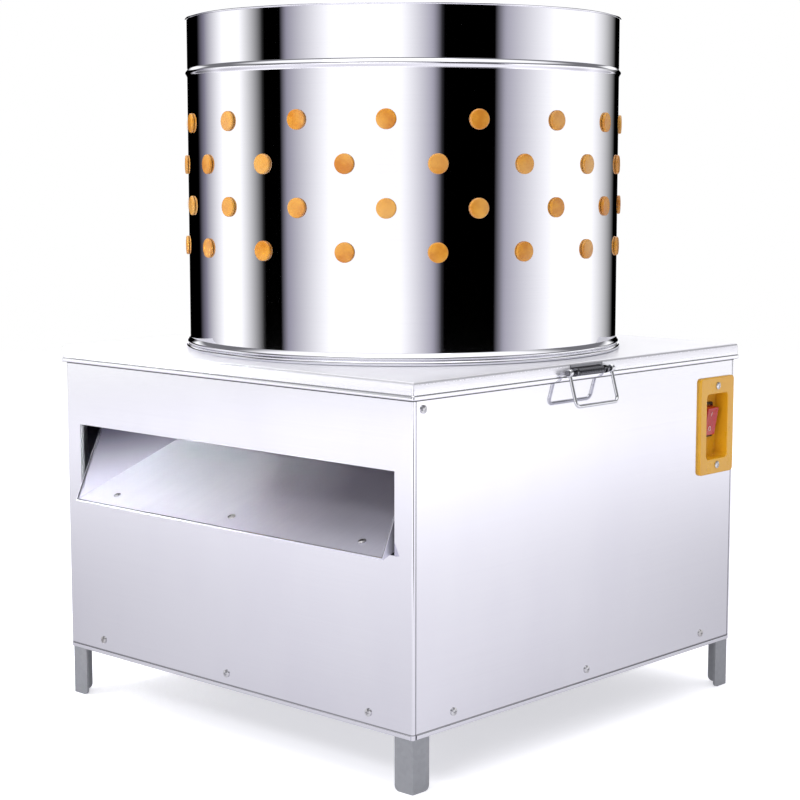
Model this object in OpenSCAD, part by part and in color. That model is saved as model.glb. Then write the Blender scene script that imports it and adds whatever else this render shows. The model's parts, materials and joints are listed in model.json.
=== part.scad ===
// Drum plucker for poultry. A sheet-metal base on four angle legs holds the belt drive
// that spins a plate of rubber fingers. The finger-lined drum stands on the lid and
// lifts off with it by two sprung wire handles. Feathers leave by the chute in front.
// Millimetres. Origin on the floor under the drum's axis, +X right, -Y front, +Z up.

/* [Base] */
// Width of the base over its panels
base_w = 560; // [550:1:600]
// Depth of the base over its panels
base_d = 572; // [566:1:620]
// Height of the panels' lower edge above the floor
leg_h = 57; // [30:1:100]
// Height from the panels' lower edge to the top of the frame
box_h = 362; // [356:1:400]
// Thickness of the panels' sheet
panel_t = 1.2; // [0.8:0.1:1.5]
// Depth of the front and rear panels' folded edges
fold_back = 4; // [3:0.5:8]
// Outer radius of those folds
fold_r = 2.4; // [1.8:0.1:3]
// Open seam between the folded edges and the side panels
seam = 1.2; // [0.6:0.1:2]
// Height of the hem along the lower edges
hem_h = 5; // [3:0.5:8]
// How far a hem stands proud of its sheet
hem_proud = 1; // [0.5:0.1:1.4]

/* [Frame] */
// Width of the angle section's legs
angle_w = 25; // [22:1:28]
// Thickness of the angle section
angle_t = 3; // [2:0.5:4]
// Rounding at the lower corners of the legs
toe_r = 6; // [2:0.5:10]
// Height of the bottom rails above the panels' lower edge
rail_lift = 5; // [3:1:15]
// Height of the channel beams under the bearing housing
beam_h = 40; // [34:1:50]
// Width of the beams' flanges
beam_w = 25; // [22:1:30]
// Clear space between the two beams
beam_gap = 84; // [76:1:92]

/* [Lid] */
// Thickness of the lid's sheet
lid_t = 1.5; // [1:0.1:2]
// How far the skirt stands outside the panels
lid_overhang = 3; // [2.5:0.1:6]
// Height of the skirt with the lid's thickness
skirt_h = 18.5; // [17:0.5:24]
// Rounding of the lid's upper edges
lid_edge_r = 3.7; // [2:0.1:4]
// Width of the ledge that the drum stands on, inside its wall
lid_ledge = 2.8; // [1:0.1:6]

/* [Drum] */
// Outer diameter of the drum
drum_d = 505; // [480:1:512]
// Height of the drum above the lid
drum_h = 380; // [370:1:440]
// Thickness of the drum's sheet
drum_t = 1.2; // [0.8:0.1:2]
// Height of the rolled bead above the lid
bead_up = 317.5; // [300:0.5:340]
// Height of the bead
bead_h = 9; // [5:0.5:10]
// How far the bead stands out
bead_out = 2.2; // [1.5:0.1:2.4]
// Radius of the rolled upper edge
rim_r = 1.3; // [1:0.1:2]
// Height of the base ring
foot_h = 13.5; // [12:0.5:18]
// How far the base ring stands out
foot_out = 4.5; // [4.5:0.5:9]
// Radius of the base ring's two rolls
foot_roll_r = 2.7; // [2:0.1:2.9]

/* [Fingers] */
// Number of finger rows in the drum
finger_rows = 4; // [1:1:4]
// Height from row to row
row_pitch = 46.5; // [40:0.5:50]
// Fingers in each row
row_count = 16; // [8:1:18]
// Angle of one finger in the upper row
row_phase = -51; // [-60:0.5:-40]
// Share of a finger's step by which every second row is turned
row_shift = 0.55; // [0.4:0.01:0.6]
// Diameter of a finger's head
head_d = 22; // [20:0.5:26]
// Height of the head
head_h = 3.6; // [3:0.1:5]
// Diameter of the neck in its hole
neck_d = 16; // [14:0.5:17]
// Diameter of the finger next to its neck
finger_d = 19; // [18:0.5:20]
// Diameter of the finger at its tip
tip_d = 15; // [13:0.5:17]
// Length of a finger inside its sheet
finger_len = 80; // [70:1:90]
// Number of ribs round a finger
finger_ribs = 4; // [2:1:5]
// Height of the ribs
rib_out = 0.9; // [0.5:0.1:1.2]
// Clear height between the plate fingers and the lowest drum row
row_clear = 15; // [6:1:30]

/* [Plucking plate] */
// Thickness of the plucking plate
plate_t = 3; // [2:0.5:5]
// Height of the plate's underside above the lid
plate_rise = 11.5; // [8:0.5:20]
// Open ring between the plate and the drum
plate_gap = 23.8; // [18:0.1:40]
// Distance of the outer finger ring from the plate's edge
ring_inset = 30; // [24:1:40]
// Distance from ring to ring
ring_pitch = 60; // [50:1:64]
// Spacing of the fingers along a ring
ring_spacing = 76; // [60:1:90]
// Number of finger rings
ring_total = 3; // [1:1:3]
// Diameter of the plate's hub
hub_d = 70; // [60:1:76]
// Height of the hub
hub_h = 36; // [30:1:40]

/* [Shaft and bearings] */
// Diameter of the main shaft
shaft_d = 30; // [26:1:32]
// Diameter of the threaded end above the plate
stud_d = 20; // [16:1:22]
// Diameter of the bearing housing
housing_d = 80; // [76:1:82]
// Outer diameter of the ball bearings
bearing_d = 62; // [58:1:64]
// Width of the ball bearings
bearing_w = 16; // [14:1:18]
// Thickness of the bearings' rings
race_t = 3.8; // [3:0.1:4.4]
// Number of balls in a bearing
ball_total = 9; // [7:1:9]
// Length of the housing's square foot
housing_foot = 150; // [146:1:160]
// Thickness of the housing's foot
housing_foot_t = 10; // [8:1:12]
// Clear height between the housing and the hub
hub_gap = 8; // [5:0.5:12]

/* [Belt drive] */
// Pitch diameter of the driven pulley
driven_pd = 220; // [200:1:224]
// Pitch diameter of the motor pulley
motor_pd = 52; // [50:1:58]
// How far the motor's axis stands in front of the middle between the housing's foot and the rear panel
motor_forward = 5.9; // [2:0.1:7.9]
// Width of the pulleys' rims
pulley_w = 20; // [18:0.5:22]
// Width of the belt's outer face
belt_w = 13; // [12:0.5:13.5]
// Height of the belt's section
belt_h = 8; // [7:0.5:9]
// Flank angle of the belt
belt_flank = 20; // [17:1:21]

/* [Motor] */
// Diameter of the motor's housing
motor_d = 140; // [130:1:142]
// Height of the cooling fins
fin_h = 5; // [3:0.5:6]
// Number of cooling fins
fin_total = 24; // [12:2:28]
// Length of the motor's housing
stator_h = 120; // [100:1:126]
// Height of each end bell
bell_h = 32; // [28:1:34]
// Diameter of the mounting flange
flange_d = 164; // [160:1:166]
// Height of the fan cowl
cowl_h = 38; // [34:1:42]
// Diameter of the motor's shaft
motor_shaft_d = 19; // [17:1:20]
// Diameter of the stator's bore
stator_bore = 84; // [76:1:90]
// Thickness of the motor plate
motor_plate_t = 6; // [5:0.5:8]

/* [Chute] */
// Height of the chute's lip above the panels' lower edge
lip_up = 184; // [175:1:190]
// How far the lip stands out of the front panel
lip_out = 12; // [8:0.5:12]
// Slope of the front stretch of the floor, in degrees
chute_slope = 19.8; // [16:0.1:21]
// Length of the front stretch, measured level
chute_front = 150; // [130:1:170]
// Thickness of the chute's sheet
chute_t = 1.2; // [1:0.1:2]
// Height of the front opening's upper edge above the panels' lower edge
opening_up = 272; // [262:1:282]
// Gap between the chute's walls and the opening's sides
opening_gap = 5; // [3:0.5:6]

/* [Switch] */
// Distance of the switch plate's middle from the base's rear face
switch_back = 40; // [39:0.5:46]
// Distance of the switch plate's middle below the top of the frame
switch_down = 94; // [82:1:122]
// Width of the switch plate
switch_w = 70; // [66:1:71]
// Height of the switch plate
switch_h = 116; // [110:1:120]
// Thickness of the switch plate
switch_t = 3.5; // [2.5:0.1:5]
// Width of the recess
recess_w = 44; // [42:0.5:46]
// Height of the recess
recess_h = 78; // [72:1:80]
// Depth of the recess below the plate's face
recess_depth = 18; // [16:0.5:20]
// Width of the rocker
rocker_w = 22; // [18:0.5:23]
// Length of the rocker
rocker_l = 34; // [30:0.5:36]
// Tilt of the rocker at rest, in degrees
rocker_tilt = 10; // [8:0.5:12]

/* [Handles] */
// Distance of the handles' middle from the lid's middle
handle_y = -12; // [-60:1:60]
// Width of the bail, between the middles of its legs
bail_w = 74; // [70:1:90]
// Length of the bail below its pin
bail_l = 37; // [34:1:50]
// Diameter of the bail's wire
bail_wire = 4; // [3:0.5:5]
// Radius of the bail's lower corners
bail_bend_r = 6; // [5:0.5:10]
// Tilt of the hanging bail, in degrees
bail_tilt = 16; // [10:1:25]
// Width of the handle's bracket
bracket_w = 56; // [52:1:62]
// Thickness of the bracket
bracket_t = 1.5; // [1:0.1:2]
// Diameter of the handle's pin
pin_d = 3.8; // [3:0.1:4.2]
// Number of curls of the handle's spring
spring_curls = 15; // [10:1:16]
// Diameter of the spring's wire
spring_wire = 1.6; // [1.2:0.1:1.8]
// Diameter of the spring, at the middle of its wire
spring_d = 7; // [6.4:0.1:7.4]

/* [Screws and gland] */
// Diameter of the screws' heads
screw_head_d = 8.6; // [7:0.1:10]
// Height of the screws' heads
screw_head_h = 2.2; // [1.6:0.1:2.4]
// Diameter of the screws
screw_d = 4.8; // [4:0.1:5.5]
// Length of the panel screws under their heads
screw_l = 7; // [6:0.5:12]
// Distance of the outer screws from the base's corners
screw_in = 62; // [56:1:130]
// Distance of the chute's outer screws from its sides
chute_screw_in = 50; // [25:1:130]
// Distance of the upper side screws below the top of the frame
top_screw_down = 27; // [24:1:62]
// Distance of the cable gland from the base's right side
gland_in = 80; // [65:1:160]
// Height of the cable gland above the panels' lower edge
gland_up = 60; // [50:1:120]
// Diameter of the gland's cable bore
gland_bore = 9; // [7:0.5:10]
// How far the gland stands out of the panel
gland_out = 12; // [10:0.5:14]

/* [Hidden] */
$fn = 48;
arc_steps = 5;
// Overlap of cutting tools beyond the faces that they cut
cut = 1;
// Radial clearance of seated round pieces
seat_fit = 0.03;
// Radial clearance of turning round pieces
run_fit = 0.08;
// Clearance of pins and screws in their holes
hole_fit = 0.2;
// Clearance of loose neighbours
loose_fit = 0.3;

screw_slot = 1;

base_x = base_w / 2;
base_y = base_d / 2;
frame_x = base_x - panel_t;
frame_y = base_y - panel_t;
frame_top = leg_h + box_h;
screw_x = base_x - screw_in;
screw_y = base_y - screw_in;
gland_x = base_x - gland_in;
heel_r = 1.5;
panel_drop = 2;
rail_z = leg_h + rail_lift;
rail_top = rail_z + angle_w;
rail_screw_z = rail_z + angle_w / 2;
beam_top = rail_top + beam_h;
beam_l = 2 * (frame_x - angle_t);
beam_t = angle_t;

lid_z = frame_top + lid_t;
skirt_z = lid_z - skirt_h;
lid_x = base_x + lid_overhang;
lid_y = base_y + lid_overhang;

drum_r = drum_d / 2;
drum_in = drum_r - drum_t;
lid_hole_r = drum_in - lid_ledge;
bead_z = lid_z + bead_up;
rim_z = lid_z + drum_h - rim_r;
rim_inset = 0.2;
foot_flare = 50;

head_r = head_d / 2;
neck_r = neck_d / 2;
finger_r = finger_d / 2;
tip_r = tip_d / 2;
head_rim = 1;
collar_r = 10.5;
collar_h = 3;
rib_w = 4;
rib_zone = 0.55;
// Shares of the head's radius and crown, and of the tip's radius, that shape their rounded ends
crown_line = [[0.4, 1], [0.78, 0.66], [1, 0]];
tip_line = [[1, 1], [0.8, 0.32], [0.42, 0]];
row_step = 360 / row_count;

plate_z = lid_z + plate_rise;
plate_top = plate_z + plate_t;
plate_r = drum_in - plate_gap;
row_low = plate_top + finger_len + row_clear + collar_r;

shaft_r = shaft_d / 2;
bearing_r = bearing_d / 2;
housing_r = housing_d / 2;
housing_top = plate_z - hub_h - hub_gap;
bearing_shelf = 4;
lower_bearing_z = beam_top + bearing_shelf;
upper_bearing_z = housing_top - bearing_shelf - bearing_w;
housing_bore_r = bearing_r - race_t;
inner_race_r = shaft_r + race_t;
ball_track_r = (housing_bore_r + inner_race_r) / 2;
ball_gap = 0.1;
ball_r = (housing_bore_r - inner_race_r) / 2 - ball_gap;
housing_bolt_inset = 15;
housing_bolt_x = housing_foot / 2 - housing_bolt_inset;
housing_bolt_y = beam_gap / 2 + beam_t + (beam_w - beam_t) / 2;
housing_foot_y = beam_gap + 2 * beam_w;
bolt_d = 10;
bolt_head_h = 6.4;
nut_h = 8;
hex_across = 1.6;
nut_across = 1.5;
washer_across = 1.8;
washer_t = 2;

pulley_drop = 2;
pulley_z = rail_top - angle_t - pulley_drop - pulley_w / 2;
groove_lip = 2;
groove_floor = 2;
belt_proud = 3;
pulley_hub_t = 13;
pulley_hub_r = shaft_r + pulley_hub_t;
pulley_hub_h = 26;
pulley_web_t = 8;
pulley_rim_t = 9;
pulley_hole_r = 20;
shaft_span = (housing_foot_y / 2 + frame_y) / 2 - motor_forward;
belt_lean = asin((driven_pd - motor_pd) / 2 / shaft_span);
belt_steps = 40;
shaft_below = 4;
shaft_bottom = pulley_z - pulley_w / 2 - shaft_below;

motor_r = motor_d / 2;
motor_plate_z = rail_top + beam_t;
motor_z = motor_plate_z + motor_plate_t;
stator_z = motor_z + bell_h;
upper_bell_z = stator_z + stator_h;
cowl_z = upper_bell_z + bell_h / 2;
cowl_t = 1.5;
cowl_slots = 18;
cowl_slot_in = 26;
cowl_slot_w = 5;
fan_room = 12;
fan_gap = 6;
fan_z = cowl_z + fan_gap;
fan_h = cowl_h / 2;
fan_hub_t = 7;
fan_blades = 7;
blade_t = 2;
fin_t = 3;
rotor_gap = 1;
lead_box = [44, 64, 80];
motor_shaft_r = motor_shaft_d / 2;
motor_flange_t = 8;
bell_inset = 14;
bell_r = motor_r - bell_inset;
bell_t = 6;
motor_bolt_inset = 11;
motor_bolt_r = flange_d / 2 - motor_bolt_inset;
motor_bolt_d = 8;
slot_reach = 8;
slot_slack = 0.3;
motor_plate_x = 100;
bearer_reach = 72;
motor_bearer_y = shaft_span + bearer_reach;
bearer_lap = 21;

chute_side_gap = 3.8;
chute_half = frame_x - angle_w - chute_side_gap;
chute_screw_x = chute_half - chute_screw_in;
chute_lip = [-base_y - lip_out, leg_h + lip_up];
chute_knee = chute_lip + chute_front * [1, tan(chute_slope)];
chute_rear_drop = 19;
chute_rear = [frame_y - angle_t, frame_top - chute_rear_drop];
chute_rest_l = 20;
wall_top = frame_top - angle_t;
wall_front_y = -base_y + angle_w + panel_t;
wall_bend_drop = 4;
wall_bend_z = leg_h + opening_up - wall_bend_drop;
wall_flange = 18;
wall_flange_inset = 20;
wall_flange_y = frame_y - angle_w - wall_flange_inset;
rear_flange_h = 12;
collar_gap = 2;
collar_t = 1.5;
collar_in = housing_r + collar_gap;
collar_drop = 6;

switch_y = base_y - switch_back;
switch_z = frame_top - switch_down;
recess_margin = 18;
recess_low = -switch_h / 2 + recess_margin;
recess_mid = recess_low + recess_h / 2;
recess_r = 5;
switch_wall = 2;
switch_screw_z = 47.5;
bezel_rim = 3;
bezel_end = 4;
bezel_w = rocker_w + 2 * bezel_rim;
bezel_l = rocker_l + 2 * bezel_end;
bezel_t = 2.5;
bezel_r = 2;
bezel_body = 16;
bezel_side = 1.6;
recess_floor = switch_t - recess_depth;
rocker_up = 6;
rocker_play = 0.3;
rocker_end_play = 1;
bezel_body_w = rocker_w + 2 * rocker_play + 2 * bezel_side;
bezel_body_l = rocker_l + 2 * rocker_end_play + 2 * bezel_side;
rocker_sink = 1;
rocker_pivot = recess_floor + bezel_t - rocker_sink;
rocker_stub_r = 1.5;
rocker_stub_l = 1;
rocker_out = 9;
rocker_dip = 2.5;
rocker_back = 8;

bracket_gap = 0.5;
bracket_low = skirt_z + hem_h + bracket_gap;
bracket_top = lid_z - lid_edge_r / 2;
spring_r = spring_d / 2;
wire_r = spring_wire / 2;
spring_room = 0.6;
pin_x = lid_x + bracket_t + spring_r + wire_r + spring_room;
pin_drop = 9.5;
pin_z = lid_z - pin_drop;
pin_r = pin_d / 2;
ear_t = 2.5;
ear_r = 4.5;
ear_root = 0.8;
ear_y = bracket_w / 2 - ear_t;
eye_t = 2.2;
eye_r = pin_r + hole_fit + eye_t;
eye_lap = 0.4;
eye_half = bail_wire / 2 + eye_lap;
pin_head_r = pin_r + eye_t / 2;
pin_head_t = 1.2;
pin_reach = bail_w / 2 + eye_half + loose_fit;
spring_gap = 0.3;
spring_bend_r = spring_wire;
spring_half = ear_y - spring_gap - spring_wire - spring_bend_r;
spring_rings = 8;
spring_sides = 6;

gland_stem = 14;
gland_hex_h = 5;
gland_nut_h = 4;
gland_wall = 3.5;
gland_cap_t = 1;
gland_hex_t = 3.5;

STEEL = [0.80, 0.81, 0.83];
GALVANISED = [0.62, 0.63, 0.65];
CASTING = [0.30, 0.32, 0.35];
MOTOR_PAINT = [0.22, 0.33, 0.45];
RUBBER = [0.87, 0.58, 0.22];
BELT_BLACK = [0.10, 0.10, 0.11];
YELLOW = [0.95, 0.66, 0.08];
BLACK = [0.06, 0.06, 0.07];
RED = [0.78, 0.07, 0.06];

// Outlines and places

// Points of a circular arc from angle a0 to angle a1 in n steps
function arc(c, r, a0, a1, n = arc_steps) =
  [for (i = [0 : n]) let (a = a0 + (a1 - a0) * i / n) c + r * [cos(a), sin(a)]];

// Angle section with its heel at the origin and its legs along +X and +Y
function angle_section() = concat(
  arc([heel_r, heel_r], heel_r, 180, 270),
  [[angle_w, 0], [angle_w, angle_t], [angle_t, angle_t], [angle_t, angle_w], [0, angle_w]]);

// Channel section with the back of its web on the Y axis
function channel_section() = [
  [0, 0], [beam_w, 0], [beam_w, beam_t], [beam_t, beam_t],
  [beam_t, beam_h - beam_t], [beam_w, beam_h - beam_t], [beam_w, beam_h], [0, beam_h]];

// Sheet of width w seen from above, with both edges folded back along +Y
function folded_section(w) = concat(
  [[-w / 2, fold_back]],
  arc([-w / 2 + fold_r, fold_r], fold_r, 180, 270),
  arc([w / 2 - fold_r, fold_r], fold_r, 270, 360),
  [[w / 2, fold_back], [w / 2 - panel_t, fold_back]],
  arc([w / 2 - fold_r, fold_r], fold_r - panel_t, 360, 270),
  arc([-w / 2 + fold_r, fold_r], fold_r - panel_t, 270, 180),
  [[-w / 2 + panel_t, fold_back]]);

// Distance of side k's face from the middle, and its length: front 0, right 1, rear 2, left 3
function face_dist(k) = k % 2 == 0 ? base_y : base_x;
function face_len(k) = k % 2 == 0 ? base_w : base_d;
function frame_len(k) = face_len(k) - 2 * panel_t;

// Height of the chute floor's upper face at depth y
function chute_top(y) = y < chute_knee[0]
  ? chute_lip[1] + (y - chute_lip[0]) * tan(chute_slope)
  : chute_knee[1] + (y - chute_knee[0]) * (chute_rear[1] - chute_knee[1])
    / (chute_rear[0] - chute_knee[0]);

// Panel screws as [side, place along it, height]
panel_screw_list = concat(
  [for (k = [0, 2], s = [-1, 0, 1]) [k, s * screw_x, rail_screw_z]],
  [for (k = [1, 3], s = [-1, 0, 1]) [k, s * screw_y, rail_screw_z]],
  [[1, -frame_y + angle_w / 2 + angle_t / 2, frame_top - top_screw_down]],
  [[3, frame_y - angle_w / 2 - angle_t / 2, frame_top - top_screw_down]],
  [for (s = [-1, 1]) [2, s * (frame_x - angle_w / 2 - angle_t / 2), frame_top - top_screw_down]]);

// Drum fingers as [angle, height]
drum_finger_list = [for (i = [0 : finger_rows - 1], j = [0 : row_count - 1])
  [row_phase + row_step * (j + (finger_rows - 1 - i) % 2 * row_shift), row_low + i * row_pitch]];

// Plate fingers as [radius, angle]
plate_finger_list = [for (i = [0 : ring_total - 1])
  let (r = plate_r - ring_inset - i * ring_pitch, n = round(2 * PI * r / ring_spacing))
  for (j = [0 : n - 1]) [r, 360 / n * (j + i / 2)]];

// Local frame of side k: X along the side, Y inwards from its outer face, Z up
module on_face(k) rotate([0, 0, 90 * k]) translate([0, -face_dist(k), 0]) children();

// Prism along X of an outline drawn in Y and Z
module along_x(l) rotate([90, 0, 90]) linear_extrude(l, center = true) children();

// Prism along Y of an outline drawn in X and Z
module along_y(l) rotate([90, 0, 0]) linear_extrude(l, center = true) children();

// Frame of a corner, with X and Y pointing inwards along the two sides
module at_corner(sx, sy)
  translate([sx * frame_x, sy * frame_y, 0])
    mirror([sx > 0 ? 1 : 0, 0, 0]) mirror([0, sy > 0 ? 1 : 0, 0]) children();

// Fasteners

// Pan-head screw with its head's underside at the origin and its head along +Z
module screw(l) {
  rise = screw_head_h / 2;
  cap_r = (pow(screw_head_d / 2, 2) + rise * rise) / screw_head_h;
  difference() {
    union() {
      translate([0, 0, -l]) cylinder(d = screw_d, h = l);
      cylinder(d = screw_head_d, h = rise);
      translate([0, 0, rise]) intersection() {
        translate([0, 0, rise - cap_r]) sphere(r = cap_r);
        cylinder(d = screw_head_d, h = screw_head_h);
      }
    }
    for (a = [0, 90])
      rotate([0, 0, a])
        translate([-screw_d / 2, -screw_slot / 2, rise])
          cube([screw_d, screw_slot, screw_head_h]);
  }
}

module screw_hole(l) translate([0, 0, -l]) cylinder(d = screw_d + 2 * hole_fit, h = l + cut);

module at_panel_screws(k)
  for (s = panel_screw_list)
    if (s[0] == k)
      on_face(k) translate([s[1], 0, s[2]]) rotate([90, 0, 0]) children();

module at_chute_screws()
  for (s = [-1, 0, 1])
    translate([s * chute_screw_x, -base_y + chute_rest_l / 2, chute_top(-base_y + chute_rest_l / 2)])
      rotate([chute_slope, 0, 0]) children();

// Hexagon of width w across its flats
module hexagon(w, h) cylinder(d = w / cos(30), h = h, $fn = 6);

// Hexagon-head bolt with its head's underside at the origin, and a nut below the grip
module bolt_and_nut(d, grip) {
  translate([0, 0, -grip - nut_h]) cylinder(d = d, h = grip + nut_h);
  hexagon(hex_across * d, bolt_head_h);
  translate([0, 0, -grip - nut_h]) hexagon(hex_across * d, nut_h);
}

// Frame

// Cuts the corner at a leg's toe to a radius, for the leg along +X
module toe_cut()
  translate([angle_w - toe_r, -cut, -cut]) difference() {
    cube([toe_r + cut, angle_t + 2 * cut, toe_r + cut]);
    translate([0, -cut, toe_r + cut])
      rotate([-90, 0, 0]) cylinder(r = toe_r, h = angle_t + 4 * cut);
  }

module corner_post(sx, sy) {
  at_corner(sx, sy) difference() {
    linear_extrude(frame_top) polygon(angle_section());
    toe_cut();
    mirror([1, -1, 0]) toe_cut();
  }
}

module post_holes() for (k = [0 : 3]) at_panel_screws(k) screw_hole(screw_l + cut);

module corner_post_front_left()
  color(GALVANISED) difference() {
    corner_post(-1, -1);
    post_holes();
  }

module corner_post_front_right()
  color(GALVANISED) difference() {
    corner_post(1, -1);
    post_holes();
  }

module corner_post_rear_left()
  color(GALVANISED) difference() {
    corner_post(-1, 1);
    post_holes();
  }

// This post is notched where the switch recess reaches past its edge
module corner_post_rear_right()
  color(GALVANISED) difference() {
    corner_post(1, 1);
    post_holes();
    switch_cut_out(recess_depth);
  }

// Angle rail along side k with its level leg at height top
module rail(k, top)
  color(GALVANISED) difference() {
    on_face(k) translate([0, panel_t, top])
      along_x(frame_len(k) - 2 * angle_w)
        mirror([0, 1]) polygon(angle_section());
    at_panel_screws(k) screw_hole(screw_l + cut);
  }

module bottom_rail_front() rail(0, rail_top);
module bottom_rail_right() rail(1, rail_top);
module bottom_rail_rear() rail(2, rail_top);
module bottom_rail_left() rail(3, rail_top);
module top_rail_front() rail(0, frame_top);
module top_rail_right() rail(1, frame_top);
module top_rail_rear() rail(2, frame_top);
module top_rail_left() rail(3, frame_top);

module bearing_beams()
  color(GALVANISED) difference() {
    for (s = [0, 1])
      mirror([0, s, 0])
        translate([0, beam_gap / 2, rail_top]) along_x(beam_l) polygon(channel_section());
    at_housing_bolts() cylinder(d = bolt_d + 2 * hole_fit, h = 3 * housing_foot_t, center = true);
  }

module motor_bearer()
  color(GALVANISED)
    translate([0, motor_bearer_y + angle_w, rail_top])
      along_x(beam_l) mirror([1, 0]) polygon(angle_section());

// Panels

module folded_panel(k)
  on_face(k) translate([0, 0, leg_h]) {
    linear_extrude(box_h - panel_drop) polygon(folded_section(face_len(k)));
    hem(face_len(k) - 2 * fold_r);
  }

module flat_panel(k) {
  w = face_len(k) - 2 * (fold_back + seam);
  on_face(k) translate([0, 0, leg_h]) {
    translate([-w / 2, 0, 0]) cube([w, panel_t, box_h - panel_drop]);
    hem(w);
  }
}

// Rounded strip along a panel's lower edge
module hem(w)
  along_x(w) polygon(concat(
    [[panel_t, 0]],
    arc([0, hem_proud], hem_proud, 270, 180),
    arc([0, hem_h - hem_proud], hem_proud, 180, 90),
    [[panel_t, hem_h]]));

// Sloping flange below the opening, which carries the chute's floor
module chute_rest() {
  front = -base_y;
  back = -base_y + chute_rest_l;
  top = [for (y = [front, back]) [y, chute_top(y) - chute_t]];
  along_x(2 * (chute_half - opening_gap))
    polygon([top[0], top[1], top[1] - [0, panel_t], top[0] - [0, 1.5 * panel_t]]);
}

module front_panel()
  color(STEEL) difference() {
    union() {
      difference() {
        folded_panel(0);
        opening_cut();
      }
      chute_rest();
    }
    at_panel_screws(0) screw_hole(screw_l);
    at_chute_screws() screw_hole(screw_l);
  }

module opening_cut() {
  half = chute_half + opening_gap;
  low = chute_top(-base_y) - chute_t - panel_t / 2;
  translate([-half, -base_y - cut, low]) cube([2 * half, panel_t + 2 * cut, leg_h + opening_up - low]);
}

module right_panel()
  color(STEEL) difference() {
    flat_panel(1);
    at_panel_screws(1) screw_hole(screw_l);
    switch_cut_out(panel_t + cut);
    at_switch() at_switch_screws() screw_hole(2 * switch_t + panel_t);
  }

module rear_panel()
  color(STEEL) difference() {
    folded_panel(2);
    at_panel_screws(2) screw_hole(screw_l);
    at_gland() translate([0, 0, -gland_stem]) cylinder(r = gland_stem_r + hole_fit, h = 2 * gland_stem);
  }

module left_panel()
  color(STEEL) difference() {
    flat_panel(3);
    at_panel_screws(3) screw_hole(screw_l);
  }

module panel_screws()
  color(STEEL) for (k = [0 : 3]) at_panel_screws(k) screw(screw_l);

// Chute

module chute_floor() {
  down = [0, chute_t];
  lip_up_z = chute_rear + [0, rear_flange_h];
  color(STEEL) difference() {
    along_x(2 * (chute_half - chute_t)) polygon([
      chute_lip, chute_knee,
      [chute_rear[0] - chute_t, chute_top(chute_rear[0] - chute_t)],
      lip_up_z - [chute_t, 0], lip_up_z,
      chute_rear - down, chute_knee - down, chute_lip - down]);
    cylinder(r = collar_in, h = lid_z);
    at_chute_screws() screw_hole(screw_l);
  }
}

// Wall on the right; its front edge leans back and its top is flanged outwards under the rail
module chute_wall() {
  down = [0, chute_t];
  translate([chute_half - chute_t / 2, 0, 0]) along_x(chute_t) polygon([
    chute_lip - down, chute_knee - down, chute_rear - down,
    [chute_rear[0], wall_top], [wall_front_y, wall_top], [wall_front_y, wall_bend_z], chute_lip]);
  translate([chute_half - chute_t, -wall_flange_y, wall_top - chute_t])
    cube([wall_flange, 2 * wall_flange_y, chute_t]);
}

module chute_right_wall() color(STEEL) chute_wall();
module chute_left_wall() color(STEEL) mirror([1, 0, 0]) chute_wall();

// Upstand that keeps feathers and water off the bearing housing
module chute_collar() {
  reach = collar_in + collar_t + cut;
  color(STEEL) difference() {
    cylinder(r = collar_in + collar_t, h = housing_top - collar_drop);
    translate([0, 0, -cut]) cylinder(r = collar_in, h = lid_z);
    along_x(2 * reach) polygon([
      [-reach, -cut], [reach, -cut], [reach, chute_top(reach)], [-reach, chute_top(-reach)]]);
  }
}

module chute_screws() color(STEEL) at_chute_screws() screw(screw_l);

// Bearings and main shaft

module at_housing_bolts()
  for (x = [-1, 1], y = [-1, 1])
    translate([x * housing_bolt_x, y * housing_bolt_y, beam_top]) children();

module bearing_housing()
  color(CASTING) difference() {
    union() {
      translate([-housing_foot / 2, -housing_foot_y / 2, beam_top])
        cube([housing_foot, housing_foot_y, housing_foot_t]);
      translate([0, 0, beam_top]) cylinder(r = housing_r, h = housing_top - beam_top);
    }
    translate([0, 0, beam_top - cut])
      cylinder(r = housing_bore_r, h = housing_top - beam_top + 2 * cut);
    translate([0, 0, beam_top - cut])
      cylinder(r = bearing_r + seat_fit, h = cut + bearing_shelf + bearing_w);
    translate([0, 0, upper_bearing_z])
      cylinder(r = bearing_r + seat_fit, h = bearing_w + bearing_shelf + cut);
    at_housing_bolts() cylinder(d = bolt_d + 2 * hole_fit, h = 3 * housing_foot_t, center = true);
  }

module housing_bolts()
  color(GALVANISED)
    at_housing_bolts() translate([0, 0, housing_foot_t]) bolt_and_nut(bolt_d, housing_foot_t + beam_t);

module at_bearings() for (z = [lower_bearing_z, upper_bearing_z]) translate([0, 0, z]) children();

// Ring of height h between two radii
module ring(r_in, r_out, h)
  difference() {
    cylinder(r = r_out, h = h);
    translate([0, 0, -cut]) cylinder(r = r_in, h = h + 2 * cut);
  }

module bearing_outer_rings() color(STEEL) at_bearings() ring(housing_bore_r, bearing_r, bearing_w);
module bearing_inner_rings() color(STEEL) at_bearings() ring(shaft_r + seat_fit, inner_race_r, bearing_w);

module bearing_balls()
  color(STEEL) at_bearings()
    for (i = [0 : ball_total - 1])
      rotate([0, 0, 360 / ball_total * i]) translate([ball_track_r, 0, bearing_w / 2]) sphere(r = ball_r);

module shaft_seal()
  color(BLACK)
    translate([0, 0, housing_top - bearing_shelf]) ring(shaft_r + run_fit, bearing_r, bearing_shelf);

module main_shaft()
  color(STEEL) {
    translate([0, 0, shaft_bottom]) cylinder(r = shaft_r, h = plate_z - shaft_bottom);
    translate([0, 0, plate_z]) cylinder(d = stud_d, h = plate_t + stud_d);
  }

module plate_hub()
  color(CASTING) translate([0, 0, plate_z - hub_h]) ring(shaft_r + seat_fit, hub_d / 2, hub_h);

module at_plate_fingers()
  for (f = plate_finger_list)
    rotate([0, 0, f[1]]) translate([f[0], 0, plate_z]) children();

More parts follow.
